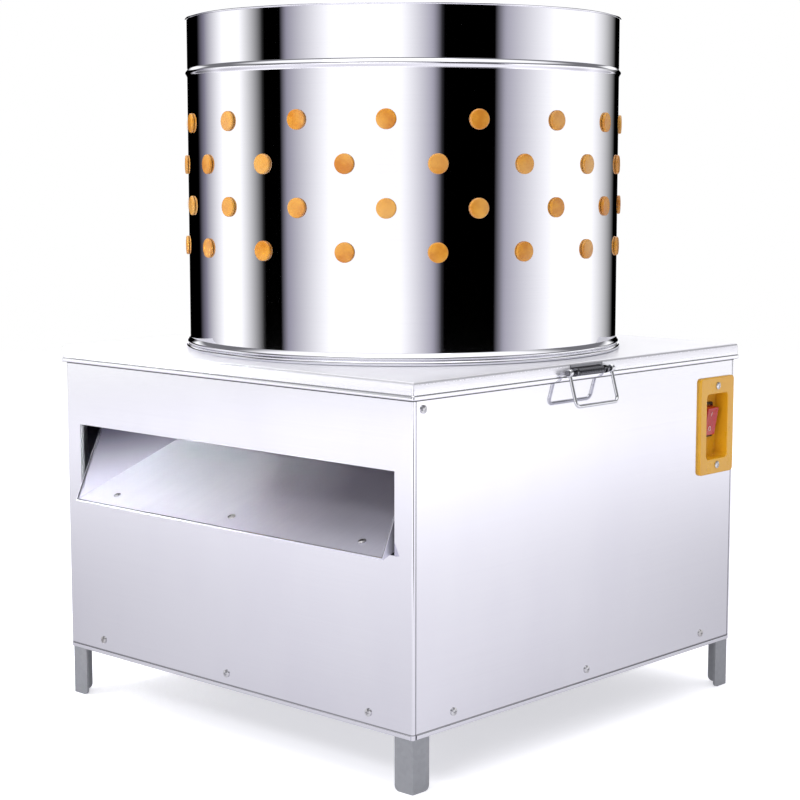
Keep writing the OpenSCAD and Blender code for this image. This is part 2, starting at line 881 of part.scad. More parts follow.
module plucking_plate()
  color(STEEL) difference() {
    translate([0, 0, plate_z]) cylinder(r = plate_r, h = plate_t);
    translate([0, 0, plate_z - cut]) cylinder(d = stud_d + 2 * seat_fit, h = plate_t + 2 * cut);
    at_plate_fingers() translate([0, 0, -cut]) cylinder(r = neck_r + hole_fit, h = plate_t + 2 * cut);
  }

// Washer and domed nut on the shaft's threaded end
module plate_nut() {
  flats = nut_across * stud_d;
  color(STEEL) difference() {
    translate([0, 0, plate_top]) {
      cylinder(d = washer_across * stud_d, h = washer_t);
      translate([0, 0, washer_t]) hexagon(flats, stud_d);
      translate([0, 0, washer_t + stud_d / 2]) sphere(d = flats);
    }
    translate([0, 0, plate_z]) cylinder(d = stud_d + 2 * seat_fit, h = plate_t + stud_d + seat_fit);
  }
}

// Fingers

// Radius of the finger's body at depth d below its sheet
function body_r(d) = finger_r + (tip_r - finger_r) * d / finger_len;

// Outline of a finger in radius and height: its head above zero, its body below a sheet of thickness t
function finger_section(t) =
  let (
    crown = head_h - head_rim,
    top = -t - loose_fit,
    rib_start = finger_len * (1 - rib_zone),
    rib_step = (finger_len * rib_zone - tip_r) / finger_ribs)
  concat(
    [[0, head_h]], [for (c = crown_line) [head_r * c[0], head_rim + crown * c[1]]],
    [[head_r, 0], [neck_r, 0], [neck_r, top],
     [collar_r, top], [collar_r, top - collar_h], [body_r(2 * collar_h), top - 2 * collar_h]],
    [for (i = [0 : finger_ribs - 1])
      let (d = rib_start + i * rib_step)
      each [[body_r(d), -d], [body_r(d) + rib_out, -d - rib_w / 2], [body_r(d), -d - rib_w]]],
    [for (c = tip_line) [tip_r * c[0], tip_r * c[1] - finger_len - t]], [[0, -finger_len - t]]);

// Finger with its head's underside at the origin and its head along +Z
module finger(t) rotate_extrude() polygon(finger_section(t));

module at_drum_fingers()
  for (f = drum_finger_list)
    rotate([0, 0, f[0]]) translate([drum_r + seat_fit, 0, f[1]]) rotate([0, 90, 0]) children();

module drum_fingers() color(RUBBER) at_drum_fingers() finger(drum_t + seat_fit);

module plate_fingers() color(RUBBER) at_plate_fingers() rotate([180, 0, 0]) finger(plate_t);

// Belt drive

// Belt section in radius and height, for a pulley of pitch diameter pd
function belt_section(pd) =
  let (out = pd / 2 + belt_proud, half = belt_w / 2, low = belt_w / 2 - belt_h * tan(belt_flank))
  [[out, -half], [out, half], [out - belt_h, low], [out - belt_h, -low]];

// Pulley rim with its groove, in radius and height, down to radius r_in
function pulley_section(pd, r_in) =
  let (
    out = pd / 2 + belt_proud,
    half = belt_w / 2 + loose_fit,
    wide = half + groove_lip * tan(belt_flank),
    low = half - (belt_h + groove_floor) * tan(belt_flank))
  [[r_in, -pulley_w / 2], [out + groove_lip, -pulley_w / 2], [out + groove_lip, -wide],
   [out - belt_h - groove_floor, -low], [out - belt_h - groove_floor, low],
   [out + groove_lip, wide], [out + groove_lip, pulley_w / 2], [r_in, pulley_w / 2]];

module driven_pulley() {
  rim_in = driven_pd / 2 + belt_proud - belt_h - groove_floor - pulley_rim_t;
  hole_at = (rim_in + pulley_hub_r) / 2;
  color(CASTING) translate([0, 0, pulley_z]) difference() {
    union() {
      rotate_extrude() polygon(pulley_section(driven_pd, rim_in));
      cylinder(r = rim_in + cut, h = pulley_web_t, center = true);
      translate([0, 0, -pulley_w / 2]) cylinder(r = pulley_hub_r, h = pulley_hub_h);
    }
    cylinder(r = shaft_r + seat_fit, h = 4 * pulley_hub_h, center = true);
    for (a = [45 : 90 : 315])
      rotate([0, 0, a]) translate([hole_at, 0, 0]) cylinder(r = pulley_hole_r, h = pulley_w, center = true);
  }
}

module at_motor() translate([0, shaft_span, 0]) children();

module motor_pulley()
  color(CASTING) at_motor() translate([0, 0, pulley_z])
    rotate_extrude() polygon(pulley_section(motor_pd, motor_shaft_r + seat_fit));

// Belt's stations as [middle of its pulley, angle, pitch diameter], once round both pulleys
belt_line = concat(
  [for (i = [0 : belt_steps])
    [[0, 0], 180 - belt_lean + (180 + 2 * belt_lean) * i / belt_steps, driven_pd]],
  [for (i = [0 : belt_steps / 2])
    [[0, shaft_span], belt_lean + (180 - 2 * belt_lean) * i * 2 / belt_steps, motor_pd]]);

// One closed loop of the belt's section
module drive_belt() {
  n = len(belt_line);
  m = 4;
  points = [for (b = belt_line, q = belt_section(b[2]))
    [b[0][0] + q[0] * cos(b[1]), b[0][1] + q[0] * sin(b[1]), pulley_z + q[1]]];
  faces = [for (i = [0 : n - 1], k = [0 : m - 1])
    let (j = (i + 1) % n, a = i * m + k, b = i * m + (k + 1) % m, c = j * m + k, d = j * m + (k + 1) % m)
    each [[a, b, c], [b, d, c]]];
  color(BELT_BLACK) polyhedron(points, faces);
}

// Motor

module at_motor_bolts()
  at_motor() for (x = [-1, 1], y = [-1, 1])
    translate([x * motor_bolt_r * sqrt(0.5), y * motor_bolt_r * sqrt(0.5), 0]) children();

module motor_plate() {
  front = beam_gap / 2 + beam_t + loose_fit;
  back = motor_bearer_y + bearer_lap;
  color(GALVANISED) difference() {
    translate([-motor_plate_x, front, motor_plate_z])
      cube([2 * motor_plate_x, back - front, motor_plate_t]);
    at_motor() cylinder(r = bell_r - bell_t, h = motor_z + cut);
    at_motor_bolts() for (s = [-1, 1])
      translate([0, s * slot_reach, 0]) cylinder(d = motor_bolt_d + 2 * hole_fit, h = motor_z + cut);
    at_motor_bolts()
      translate([-motor_bolt_d / 2 - hole_fit + slot_slack, -slot_reach, 0])
        cube([motor_bolt_d + 2 * (hole_fit - slot_slack), 2 * slot_reach, motor_z + cut]);
  }
}

module motor_bolts()
  color(GALVANISED) at_motor_bolts()
    translate([0, 0, motor_z + motor_flange_t]) bolt_and_nut(motor_bolt_d, motor_flange_t + motor_plate_t);

// Flanged cup that carries the motor and the lower end of its shaft
module motor_lower_bell()
  color(MOTOR_PAINT) difference() {
    at_motor() translate([0, 0, motor_z]) {
      cylinder(d = flange_d, h = motor_flange_t);
      cylinder(r = bell_r, h = bell_h);
    }
    at_motor() translate([0, 0, motor_z + bell_t]) cylinder(r = bell_r - bell_t, h = bell_h);
    at_motor() cylinder(r = motor_shaft_r + run_fit, h = stator_z);
    at_motor_bolts() cylinder(d = motor_bolt_d + 2 * hole_fit, h = stator_z);
  }

// Finned housing with the laminated core around its bore
module motor_stator()
  color(MOTOR_PAINT) at_motor() translate([0, 0, stator_z]) difference() {
    union() {
      cylinder(r = motor_r, h = stator_h);
      for (i = [0 : fin_total - 1])
        rotate([0, 0, 360 / fin_total * (i + 0.5)])
          translate([motor_r - fin_h, -fin_t / 2, fin_h]) cube([2 * fin_h, fin_t, stator_h - 2 * fin_h]);
    }
    translate([0, 0, -cut]) cylinder(d = stator_bore, h = stator_h + 2 * cut);
  }

module motor_upper_bell()
  color(MOTOR_PAINT) at_motor() translate([0, 0, upper_bell_z]) difference() {
    cylinder(r = motor_r, h = bell_h / 2);
    translate([0, 0, -cut]) cylinder(d = stator_bore, h = bell_h / 2 - bell_t + cut);
    cylinder(r = motor_shaft_r + run_fit, h = bell_h);
  }

module motor_shaft()
  color(STEEL) at_motor() {
    translate([0, 0, pulley_z - pulley_w / 2])
      cylinder(r = motor_shaft_r, h = fan_z + fan_h - pulley_z + pulley_w / 2);
    translate([0, 0, stator_z]) cylinder(d = stator_bore - 2 * rotor_gap, h = stator_h);
  }

// Hub, disc and straight blades
module motor_fan() {
  hub_r = motor_shaft_r + fan_hub_t;
  fan_r = motor_r - fan_room;
  color(BLACK) at_motor() translate([0, 0, fan_z]) difference() {
    union() {
      cylinder(r = hub_r, h = fan_h);
      for (i = [0 : fan_blades - 1])
        rotate([0, 0, 360 / fan_blades * (i + 0.5)])
          translate([hub_r - blade_t, -blade_t / 2, blade_t / 2])
            cube([fan_r - hub_r, blade_t, fan_h - blade_t]);
      cylinder(r = fan_r, h = blade_t);
    }
    translate([0, 0, -cut]) cylinder(r = motor_shaft_r + seat_fit, h = fan_h + 2 * cut);
  }
}

// Cover over the fan, with a ring of air slots
module fan_cowl()
  color(MOTOR_PAINT) at_motor() translate([0, 0, cowl_z]) difference() {
    cylinder(r = motor_r, h = cowl_h);
    translate([0, 0, -cut]) cylinder(r = motor_r - cowl_t, h = cowl_h - cowl_t + cut);
    for (i = [0 : cowl_slots - 1])
      rotate([0, 0, 360 / cowl_slots * i]) translate([cowl_slot_in, -cowl_slot_w / 2, cowl_h / 2])
        cube([motor_r - fan_room - cowl_slot_in, cowl_slot_w, cowl_h]);
  }

// Box for the leads and the run capacitor, saddled on the motor
module terminal_box()
  color(BLACK) at_motor() translate([0, 0, stator_z + stator_h / 2]) difference() {
    translate([motor_r - fin_h, -lead_box[1] / 2, -lead_box[2] / 2]) cube(lead_box);
    cylinder(r = motor_r + fin_h + hole_fit, h = 2 * stator_h, center = true);
  }

// Switch

module at_switch() on_face(1) translate([switch_y, 0, switch_z]) rotate([90, 0, 0]) children();

// Box around the switch recess, reaching depth d into the base, with play for its walls
module switch_cut_out(d)
  at_switch() translate([0, recess_mid, -d])
    linear_extrude(d + cut) square([recess_w + 2 * switch_wall + 2 * hole_fit,
                                    recess_h + 2 * switch_wall + 2 * hole_fit], center = true);

// Rectangle w by h with corners of radius r
module rounded_rect(w, h, r) {
  polygon(concat(
    arc([w / 2 - r, h / 2 - r], r, 0, 90), arc([r - w / 2, h / 2 - r], r, 90, 180),
    arc([r - w / 2, r - h / 2], r, 180, 270), arc([w / 2 - r, r - h / 2], r, 270, 360)));
}

// Moulded plate with a deep recess that shields the switch
module switch_plate() {
  color(YELLOW) at_switch() difference() {
    union() {
      linear_extrude(switch_t) rounded_rect(switch_w, switch_h, recess_r);
      translate([0, recess_mid, recess_floor - switch_wall])
        linear_extrude(recess_depth + switch_wall - switch_t / 2)
          square([recess_w + 2 * switch_wall, recess_h + 2 * switch_wall], center = true);
    }
    translate([0, recess_mid, recess_floor])
      linear_extrude(recess_depth + cut) rounded_rect(recess_w, recess_h, recess_r);
    translate([0, rocker_up + recess_mid, recess_floor - switch_wall - cut])
      linear_extrude(switch_wall + 2 * cut)
        square([bezel_body_w + 2 * hole_fit, bezel_body_l + 2 * hole_fit], center = true);
    at_switch_screws() screw_hole(2 * switch_t);
  }
}

module at_switch_screws()
  for (s = [-1, 1]) translate([0, s * switch_screw_z, switch_t]) children();

// The switch body with its front flange, open where the rocker tilts
module switch_bezel()
  color(BLACK) at_switch() translate([0, rocker_up + recess_mid, recess_floor]) difference() {
    union() {
      linear_extrude(bezel_t) rounded_rect(bezel_w, bezel_l, bezel_r);
      translate([0, 0, -bezel_body])
        linear_extrude(bezel_body + bezel_t / 2) square([bezel_body_w, bezel_body_l], center = true);
    }
    translate([0, 0, -bezel_body + bezel_side])
      linear_extrude(2 * bezel_body)
        square([rocker_w + 2 * rocker_play, rocker_l + 2 * rocker_end_play], center = true);
    translate([0, 0, rocker_pivot - recess_floor])
      along_x(bezel_w - bezel_side) circle(r = rocker_stub_r + run_fit);
  }

// Rocker at rest with its lower end pressed in, on two stubs
module rocker() {
  end = rocker_l / 2;
  color(RED) at_switch()
    translate([0, rocker_up + recess_mid, rocker_pivot]) rotate([rocker_tilt, 0, 0]) {
      along_x(rocker_w) polygon([
        [-end, rocker_out], [0, rocker_out - rocker_dip], [end, rocker_out],
        [end, -rocker_stub_r], [end / 2, -rocker_back], [-end / 2, -rocker_back], [-end, -rocker_stub_r]]);
      along_x(rocker_w + 2 * rocker_play + 2 * rocker_stub_l) circle(r = rocker_stub_r);
    }
}

module switch_screws() color(STEEL) at_switch() at_switch_screws() screw(switch_t + panel_t);

// Cable gland

gland_stem_r = gland_bore / 2 + gland_wall;

module at_gland()
  on_face(2) translate([-gland_x, 0, leg_h + gland_up]) rotate([90, 0, 0]) children();

module cable_gland() {
  flats = 2 * (gland_stem_r + gland_hex_t);
  color(BLACK) at_gland() difference() {
    union() {
      translate([0, 0, -gland_stem]) cylinder(r = gland_stem_r, h = gland_stem + cut);
      hexagon(flats, gland_hex_h);
      cylinder(r = gland_stem_r + gland_cap_t, h = gland_out);
      translate([0, 0, -panel_t - gland_nut_h]) hexagon(flats, gland_nut_h);
    }
    translate([0, 0, -2 * gland_stem]) cylinder(d = gland_bore, h = 4 * gland_stem);
  }
}

// Lid

// Outline of the lid's outer form across a half width
function lid_section(half) = concat(
  [[-half - hem_proud, skirt_z], [-half - hem_proud, skirt_z + hem_h - hem_proud], [-half, skirt_z + hem_h]],
  arc([lid_edge_r - half, lid_z - lid_edge_r], lid_edge_r, 180, 90),
  arc([half - lid_edge_r, lid_z - lid_edge_r], lid_edge_r, 90, 0),
  [[half, skirt_z + hem_h], [half + hem_proud, skirt_z + hem_h - hem_proud], [half + hem_proud, skirt_z]]);

module lid()
  color(STEEL) difference() {
    intersection() {
      along_y(2 * (lid_y + 2 * hem_proud)) polygon(lid_section(lid_x));
      along_x(2 * (lid_x + 2 * hem_proud)) polygon(lid_section(lid_y));
    }
    translate([lid_t - lid_x, lid_t - lid_y, skirt_z - cut])
      cube([2 * (lid_x - lid_t), 2 * (lid_y - lid_t), frame_top - skirt_z + cut]);
    translate([0, 0, skirt_z]) cylinder(r = lid_hole_r, h = 2 * skirt_h);
  }

// Drum

// Radius and half angle of the bead's arc for a sheet face that lies d inside the outer one
bead_r = (pow(bead_h / 2, 2) + pow(bead_out, 2)) / (2 * bead_out);
function bead_half_angle(d) = acos((bead_r - bead_out - d) / (bead_r - d));
function bead_arc(d, s) =
  arc([drum_r + bead_out - bead_r, bead_z], bead_r - d, -s * bead_half_angle(d), s * bead_half_angle(d));

module drum_shell()
  color(STEEL) difference() {
    rotate_extrude() {
      polygon(concat(
        [[drum_r, lid_z]], bead_arc(0, 1), [[drum_r, rim_z], [drum_in, rim_z]],
        bead_arc(drum_t, -1), [[drum_in, lid_z]]));
      translate([drum_in + rim_r + rim_inset, rim_z]) circle(r = rim_r);
    }
    at_drum_fingers()
      cylinder(r = neck_r + hole_fit, h = 8 * drum_t, center = true);
  }

module drum_base_ring() {
  ring_in = drum_r + seat_fit;
  roll_at = drum_r + foot_out - foot_roll_r;
  roll_in = foot_roll_r / 2;
  color(STEEL) rotate_extrude() polygon(concat(
    [[ring_in, lid_z]],
    arc([roll_at, lid_z + foot_roll_r], foot_roll_r, -90, 90),
    arc([roll_at - roll_in, lid_z + 3 * foot_roll_r], foot_roll_r, -90, foot_flare),
    [[ring_in, lid_z + foot_h]]));
}

// Handles

module at_handles()
  for (s = [0, 1]) mirror([s, 0, 0]) translate([0, handle_y, 0]) children();

module at_pin() translate([pin_x, 0, pin_z]) children();

// Round bar of radius r along Y over the half length l
module bar_y(r, l) rotate([90, 0, 0]) cylinder(r = r, h = 2 * l, center = true);

// Welded plate with two ears and the fixed pin
module handle_brackets()
  color(STEEL) at_handles() {
    translate([lid_x, -bracket_w / 2, bracket_low]) cube([bracket_t, bracket_w, bracket_top - bracket_low]);
    for (s = [0, 1])
      mirror([0, s, 0]) translate([0, ear_y + ear_t / 2, 0]) {
        at_pin() bar_y(ear_r, ear_t / 2);
        translate([lid_x, -ear_t / 2, pin_z - ear_root * ear_r])
          cube([pin_x - lid_x, ear_t, 2 * ear_root * ear_r]);
      }
    at_pin() bar_y(pin_r, pin_reach + pin_head_t / 2);
    for (s = [-1, 1])
      at_pin() translate([0, s * (pin_reach + pin_head_t / 2), 0]) bar_y(pin_head_r, pin_head_t / 2);
  }

// Spring: middle line, from one ear to the other round the Y axis
spring_pitch = 2 * spring_half / spring_curls;
spring_turns = spring_curls * spring_rings;
function spring_radial(a) = [cos(a), 0, sin(a)];
function spring_along(a) = let (v = [-sin(a), spring_pitch / (2 * PI * spring_r), cos(a)]) v / norm(v);
function coil_point(i) =
  let (turn = i / spring_rings)
  spring_r * spring_radial(360 * turn) + [0, spring_pitch * turn - spring_half, 0];
// Each end turns from the coil into a short straight run along Y
function spring_end(i, s) =
  let (a = 360 * i / spring_rings, p = coil_point(i))
  concat(
    [for (b = [30, 60, 90]) p + s * spring_bend_r * (sin(b) * spring_along(a) + (1 - cos(b)) * [0, 1, 0])],
    [p + s * (spring_bend_r * spring_along(a) + (spring_bend_r + spring_wire) * [0, 1, 0])]);
function reverse(l) = [for (i = [len(l) - 1 : -1 : 0]) l[i]];
spring_line = concat(
  reverse(spring_end(0, -1)), [for (i = [0 : spring_turns]) coil_point(i)], spring_end(spring_turns, 1));
spring_lead = 4;
function spring_angle(i) = 360 / spring_rings * min(max(i - spring_lead, 0), spring_turns);
function spring_dir(i) =
  let (v = spring_line[min(i + 1, spring_last)] - spring_line[max(i - 1, 0)]) v / norm(v);

// Tube of spring_sides sides round the middle line
module spring_tube() {
  n = len(spring_line);
  m = spring_sides;
  points = [for (i = [0 : n - 1], k = [0 : m - 1])
    let (u = spring_radial(spring_angle(i)), v = cross(spring_dir(i), u), b = 360 * k / m)
    spring_line[i] + wire_r * (cos(b) * u + sin(b) * v)];
  sides = [for (i = [0 : n - 2], k = [0 : m - 1])
    let (a = i * m + k, b = i * m + (k + 1) % m)
    each [[a, b, a + m], [b, b + m, a + m]]];
  ends = [for (k = [1 : m - 2]) each [[0, k + 1, k], [(n - 1) * m, (n - 1) * m + k, (n - 1) * m + k + 1]]];
  polyhedron(points, concat(sides, ends));
}

spring_last = len(spring_line) - 1;
spring_least_gap = min([for (i = [0 : spring_last], j = [i + spring_rings / 2 : spring_last])
  norm(spring_line[i] - spring_line[j])]) - spring_wire;
echo(str("least gap between the spring's curls: ", spring_least_gap, " mm"));

module handle_springs() color(GALVANISED) at_handles() at_pin() spring_tube();

// Wire loop with an eye on each end of the pin, hanging with its lower bar outwards
module bail()
  at_pin() rotate([0, -bail_tilt, 0])
    difference() {
      union() {
        for (s = [0, 1]) mirror([0, s, 0]) {
          translate([0, bail_w / 2, 0]) bar_y(eye_r, eye_half);
          translate([0, bail_w / 2, bail_bend_r - bail_l]) cylinder(d = bail_wire, h = bail_l - bail_bend_r);
          translate([0, bail_w / 2 - bail_bend_r, bail_bend_r - bail_l])
            rotate([90, 0, 90]) rotate([0, 0, -90])
              rotate_extrude(angle = 90) translate([bail_bend_r, 0]) circle(d = bail_wire);
        }
        translate([0, 0, -bail_l]) bar_y(bail_wire / 2, bail_w / 2 - bail_bend_r);
      }
      bar_y(pin_r + hole_fit, bail_w);
    }

module handle_bail_right() color(STEEL) translate([0, handle_y, 0]) bail();
module handle_bail_left() color(STEEL) mirror([1, 0, 0]) translate([0, handle_y, 0]) bail();

corner_post_front_left();
corner_post_front_right();
corner_post_rear_left();
corner_post_rear_right();
bottom_rail_front();
bottom_rail_right();
bottom_rail_rear();
bottom_rail_left();
top_rail_front();
top_rail_right();
top_rail_rear();
top_rail_left();
front_panel();
right_panel();
rear_panel();
left_panel();
chute_floor();
chute_left_wall();
chute_right_wall();
chute_collar();
bearing_beams();
motor_bearer();
motor_plate();
bearing_housing();
bearing_outer_rings();
bearing_balls();
bearing_inner_rings();
shaft_seal();
housing_bolts();
main_shaft();
driven_pulley();
plate_hub();
plucking_plate();
plate_fingers();
plate_nut();
drive_belt();
motor_pulley();
motor_shaft();
motor_fan();
motor_stator();
motor_lower_bell();
motor_upper_bell();
fan_cowl();
terminal_box();
motor_bolts();
switch_plate();
switch_bezel();
rocker();
switch_screws();
panel_screws();
chute_screws();
cable_gland();
lid();
drum_shell();
drum_base_ring();
drum_fingers();
handle_brackets();
handle_springs();
handle_bail_right();
handle_bail_left();
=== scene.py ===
import json
import math

import bpy
import numpy as np
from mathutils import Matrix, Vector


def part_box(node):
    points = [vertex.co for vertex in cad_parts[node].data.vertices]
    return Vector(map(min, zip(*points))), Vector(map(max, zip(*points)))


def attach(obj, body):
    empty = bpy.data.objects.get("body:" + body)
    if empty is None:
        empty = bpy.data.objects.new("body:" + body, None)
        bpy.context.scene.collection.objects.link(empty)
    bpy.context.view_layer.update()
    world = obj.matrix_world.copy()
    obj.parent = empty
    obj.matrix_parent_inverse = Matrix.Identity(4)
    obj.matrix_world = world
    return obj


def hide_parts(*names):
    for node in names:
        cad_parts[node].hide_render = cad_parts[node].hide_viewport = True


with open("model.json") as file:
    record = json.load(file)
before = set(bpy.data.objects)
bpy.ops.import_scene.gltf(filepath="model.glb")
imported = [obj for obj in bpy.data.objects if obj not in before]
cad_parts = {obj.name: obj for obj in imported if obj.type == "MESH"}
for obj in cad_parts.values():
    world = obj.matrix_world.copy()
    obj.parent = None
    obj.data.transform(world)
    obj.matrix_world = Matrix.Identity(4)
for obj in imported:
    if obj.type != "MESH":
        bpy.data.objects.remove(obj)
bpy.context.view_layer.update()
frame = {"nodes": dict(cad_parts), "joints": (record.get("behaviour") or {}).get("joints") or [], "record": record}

MM = 0.001
TURN = 2 * math.pi
BY_CORNER = 0.002  # share of a side between its corner and the point next to it
cad = frame["nodes"]
node_slot = {p["node"]: p["material_slot"] for p in frame["record"]["subparts"]}
joint_at = {j["name"]: np.array(j["pos_m"]) for j in frame["joints"] if "pos_m" in j}
boxes = {name: np.array(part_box(name)) for name in cad}
low = {name: box[0] for name, box in boxes.items()}
high = {name: box[1] for name, box in boxes.items()}


# Camera

camera = bpy.data.objects.new("photo_camera", bpy.data.cameras.new("photo_camera"))
camera.data.lens = 83.47
camera.data.sensor_width = 36
camera.location = (1.5055, -1.61516, 0.62464)
camera.rotation_euler = (math.radians(83.0), 0, math.radians(43.08))
bpy.context.scene.collection.objects.link(camera)
bpy.context.scene.camera = camera
bpy.context.scene.view_settings.view_transform = "Standard"


# Skins: a skin is (points, faces), where faces is a list of index arrays, one array for each face size


def grid_faces(rows, cols, loop_rows=False, loop_cols=True):
    """Quads between neighbouring points of a grid, row i and column j at index i * cols + j.
    A looped direction joins its last line to its first."""
    i = np.arange(rows if loop_rows else rows - 1)[:, None]
    j = np.arange(cols if loop_cols else cols - 1)[None, :]
    i2, j2 = (i + 1) % rows, (j + 1) % cols
    return np.stack([i * cols + j, i * cols + j2, i2 * cols + j2, i2 * cols + j], -1).reshape(-1, 4)


def loops(rows, closed=False):
    """Skin over a stack of loops, an array [row, point, xyz]; each loop runs anticlockwise seen from the
    end that the stack goes to on its outer side. A stack that isn't closed gets a flat cap at both ends."""
    count, n = rows.shape[:2]
    faces = [grid_faces(count, n, loop_rows=closed)]
    if not closed:
        faces.append(np.stack([np.arange(n)[::-1], np.arange(n) + (count - 1) * n]))
    return rows.reshape(-1, 3), faces


def lathe(profile, steps, closed=False):
    """A profile of (radius, height) points carried round the upright axis: point (i, j) is
    (r_i cos a_j, r_i sin a_j, z_i). A profile end on the axis is one point with a fan of triangles."""
    profile = np.asarray(profile, float)
    a = np.arange(steps) * TURN / steps
    first, last = profile[0, 0] < 1e-9, profile[-1, 0] < 1e-9
    ring = profile[int(first):len(profile) - int(last)]
    flat = ring[:, 0, None, None] * np.stack([np.cos(a), np.sin(a)], -1)
    points = np.concatenate([flat, np.repeat(ring[:, 1, None, None], steps, 1)], -1).reshape(-1, 3)
    faces = [grid_faces(len(ring), steps, loop_rows=closed)]
    k = np.arange(steps)
    if first:
        faces.append(np.stack([np.full(steps, len(points)), (k + 1) % steps, k], -1))
        points = np.vstack([points, [0, 0, profile[0, 1]]])
    if last:
        row = (len(ring) - 1) * steps
        faces.append(np.stack([row + k, row + (k + 1) % steps, np.full(steps, len(points))], -1))
        points = np.vstack([points, [0, 0, profile[-1, 1]]])
    return points, faces


def tube(path, side, radius, sides):
    """A circle carried along a path: at each station the circle lies square to the path's direction t, on
    u = side less its share along t, and v = t x u, so a point is path + radius (u cos a + v sin a)."""
    t = np.gradient(path, axis=0)
    t /= np.linalg.norm(t, axis=1, keepdims=True)
    u = side - (side * t).sum(1, keepdims=True) * t
    u /= np.linalg.norm(u, axis=1, keepdims=True)
    v = np.cross(t, u)
    a = np.arange(sides) * TURN / sides
    ring = np.cos(a)[None, :, None] * u[:, None] + np.sin(a)[None, :, None] * v[:, None]
    return loops(path[:, None] + radius * ring)


def copies(skin, spots):
    """The skin repeated at spots, an array [copy, xyz, 4] of three axes and an origin: point p of a copy
    is x p_x + y p_y + z p_z + origin."""
    points, faces = skin
    moved = np.einsum("kij,pj->kpi", spots[:, :, :3], points) + spots[:, None, :, 3]
    shift = np.arange(len(spots))[:, None, None] * len(points)
    return moved.reshape(-1, 3), [(f[None] + shift).reshape(-1, f.shape[1]) for f in faces]


def places(x, y, z, origin):
    """Spots for copies(), from arrays of axes and origins that are spread to one length."""
    return np.stack(np.broadcast_arrays(*np.atleast_2d(x, y, z, origin)), -1)


def joined(*skins):
    """Several skins as one; each skin's faces count on from the points before it."""
    start = np.cumsum([0] + [len(p) for p, _ in skins])
    return np.vstack([p for p, _ in skins]), [f + s for (_, fs), s in zip(skins, start) for f in fs]


def arc(middle, radius, start, end, steps):
    """Points of a circle's arc, angles in degrees: middle + radius (cos a, sin a)."""
    a = np.radians(np.linspace(start, end, steps))
    return np.stack([middle[0] + radius * np.cos(a), middle[1] + radius * np.sin(a)], -1)


def rounded_loop(a, b, r, steps=7, along=0):
    """Anticlockwise rectangle of half sizes a and b: each corner's quarter arc is its middle
    (+-(a - r), +-(b - r)) plus r (cos t, sin t), and each side has points spaced evenly from one close
    to its first corner to one close to its second."""
    t = np.linspace(0, math.pi / 2, steps)[None] + np.arange(4)[:, None] * math.pi / 2
    x = np.array([1, -1, -1, 1])[:, None] * (a - r) + r * np.cos(t)
    y = np.array([1, 1, -1, -1])[:, None] * (b - r) + r * np.sin(t)
    corners = np.stack([x, y], -1)
    share = np.linspace(BY_CORNER, 1 - BY_CORNER, along)[None, :, None]
    sides = corners[:, -1:] * (1 - share) + np.roll(corners[:, :1], -1, 0) * share
    return np.concatenate([corners, sides], 1).reshape(-1, 2)


def level_loop(line, z):
    """Points of a flat loop at the height z."""
    return np.column_stack([line, np.full(len(line), z)])


def piece(name, skin, body, slot, finish, *replaced, sharp=32):
    """Mesh object of a skin, smooth up to the sharp angle in degrees, that rides on a body."""
    points, faces = skin
    mesh = bpy.data.meshes.new(name)
    mesh.from_pydata(points.tolist(), [], [f for block in faces for f in block.tolist()])
    mesh.polygons.foreach_set("use_smooth", np.ones(len(mesh.polygons), bool))
    mesh.set_sharp_from_angle(angle=math.radians(sharp))
    mesh.update()
    made = bpy.data.objects.new(name, mesh)
    bpy.context.scene.collection.objects.link(made)
    mesh.materials.append(finish)
    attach(made, body)
    if replaced:
        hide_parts(*replaced)


# Finishes


class Amount:
    """A number that varies over a surface: wraps a node's socket, and each operator adds one Math node."""

    def __init__(self, finish, socket):
        self.finish, self.socket = finish, socket

    def maths(self, operation, *values):
        """A Math node of these values."""
        node = self.finish.node("ShaderNodeMath", {"operation": operation}, dict(enumerate(values)))
        return Amount(self.finish, node.outputs[0])

    def __add__(self, other):
        return self.maths("ADD", self, other)

    def __radd__(self, other):
        return self.maths("ADD", other, self)

    def __sub__(self, other):
        return self.maths("SUBTRACT", self, other)

    def __rsub__(self, other):
        return self.maths("SUBTRACT", other, self)

    def __mul__(self, other):
        return self.maths("MULTIPLY", self, other)

    def __rmul__(self, other):
        return self.maths("MULTIPLY", other, self)

    def __truediv__(self, other):
        return self.maths("DIVIDE", self, other)

    def __rtruediv__(self, other):
        return self.maths("DIVIDE", other, self)

    def __pow__(self, other):
        return self.maths("POWER", self, other)

    def __abs__(self):
        return self.maths("ABSOLUTE", self)

    def rise(self, start, end):
        """0 before start, 1 after end, with a smooth step between; it falls where end is before start."""
        sockets = {"Value": self, "From Min": start, "From Max": end}
        if start > end:
            sockets = {"Value": self, "From Min": end, "From Max": start, "To Min": 1.0, "To Max": 0.0}
        node = self.finish.node("ShaderNodeMapRange", {"interpolation_type": "SMOOTHSTEP"}, sockets)
        return Amount(self.finish, node.outputs["Result"])


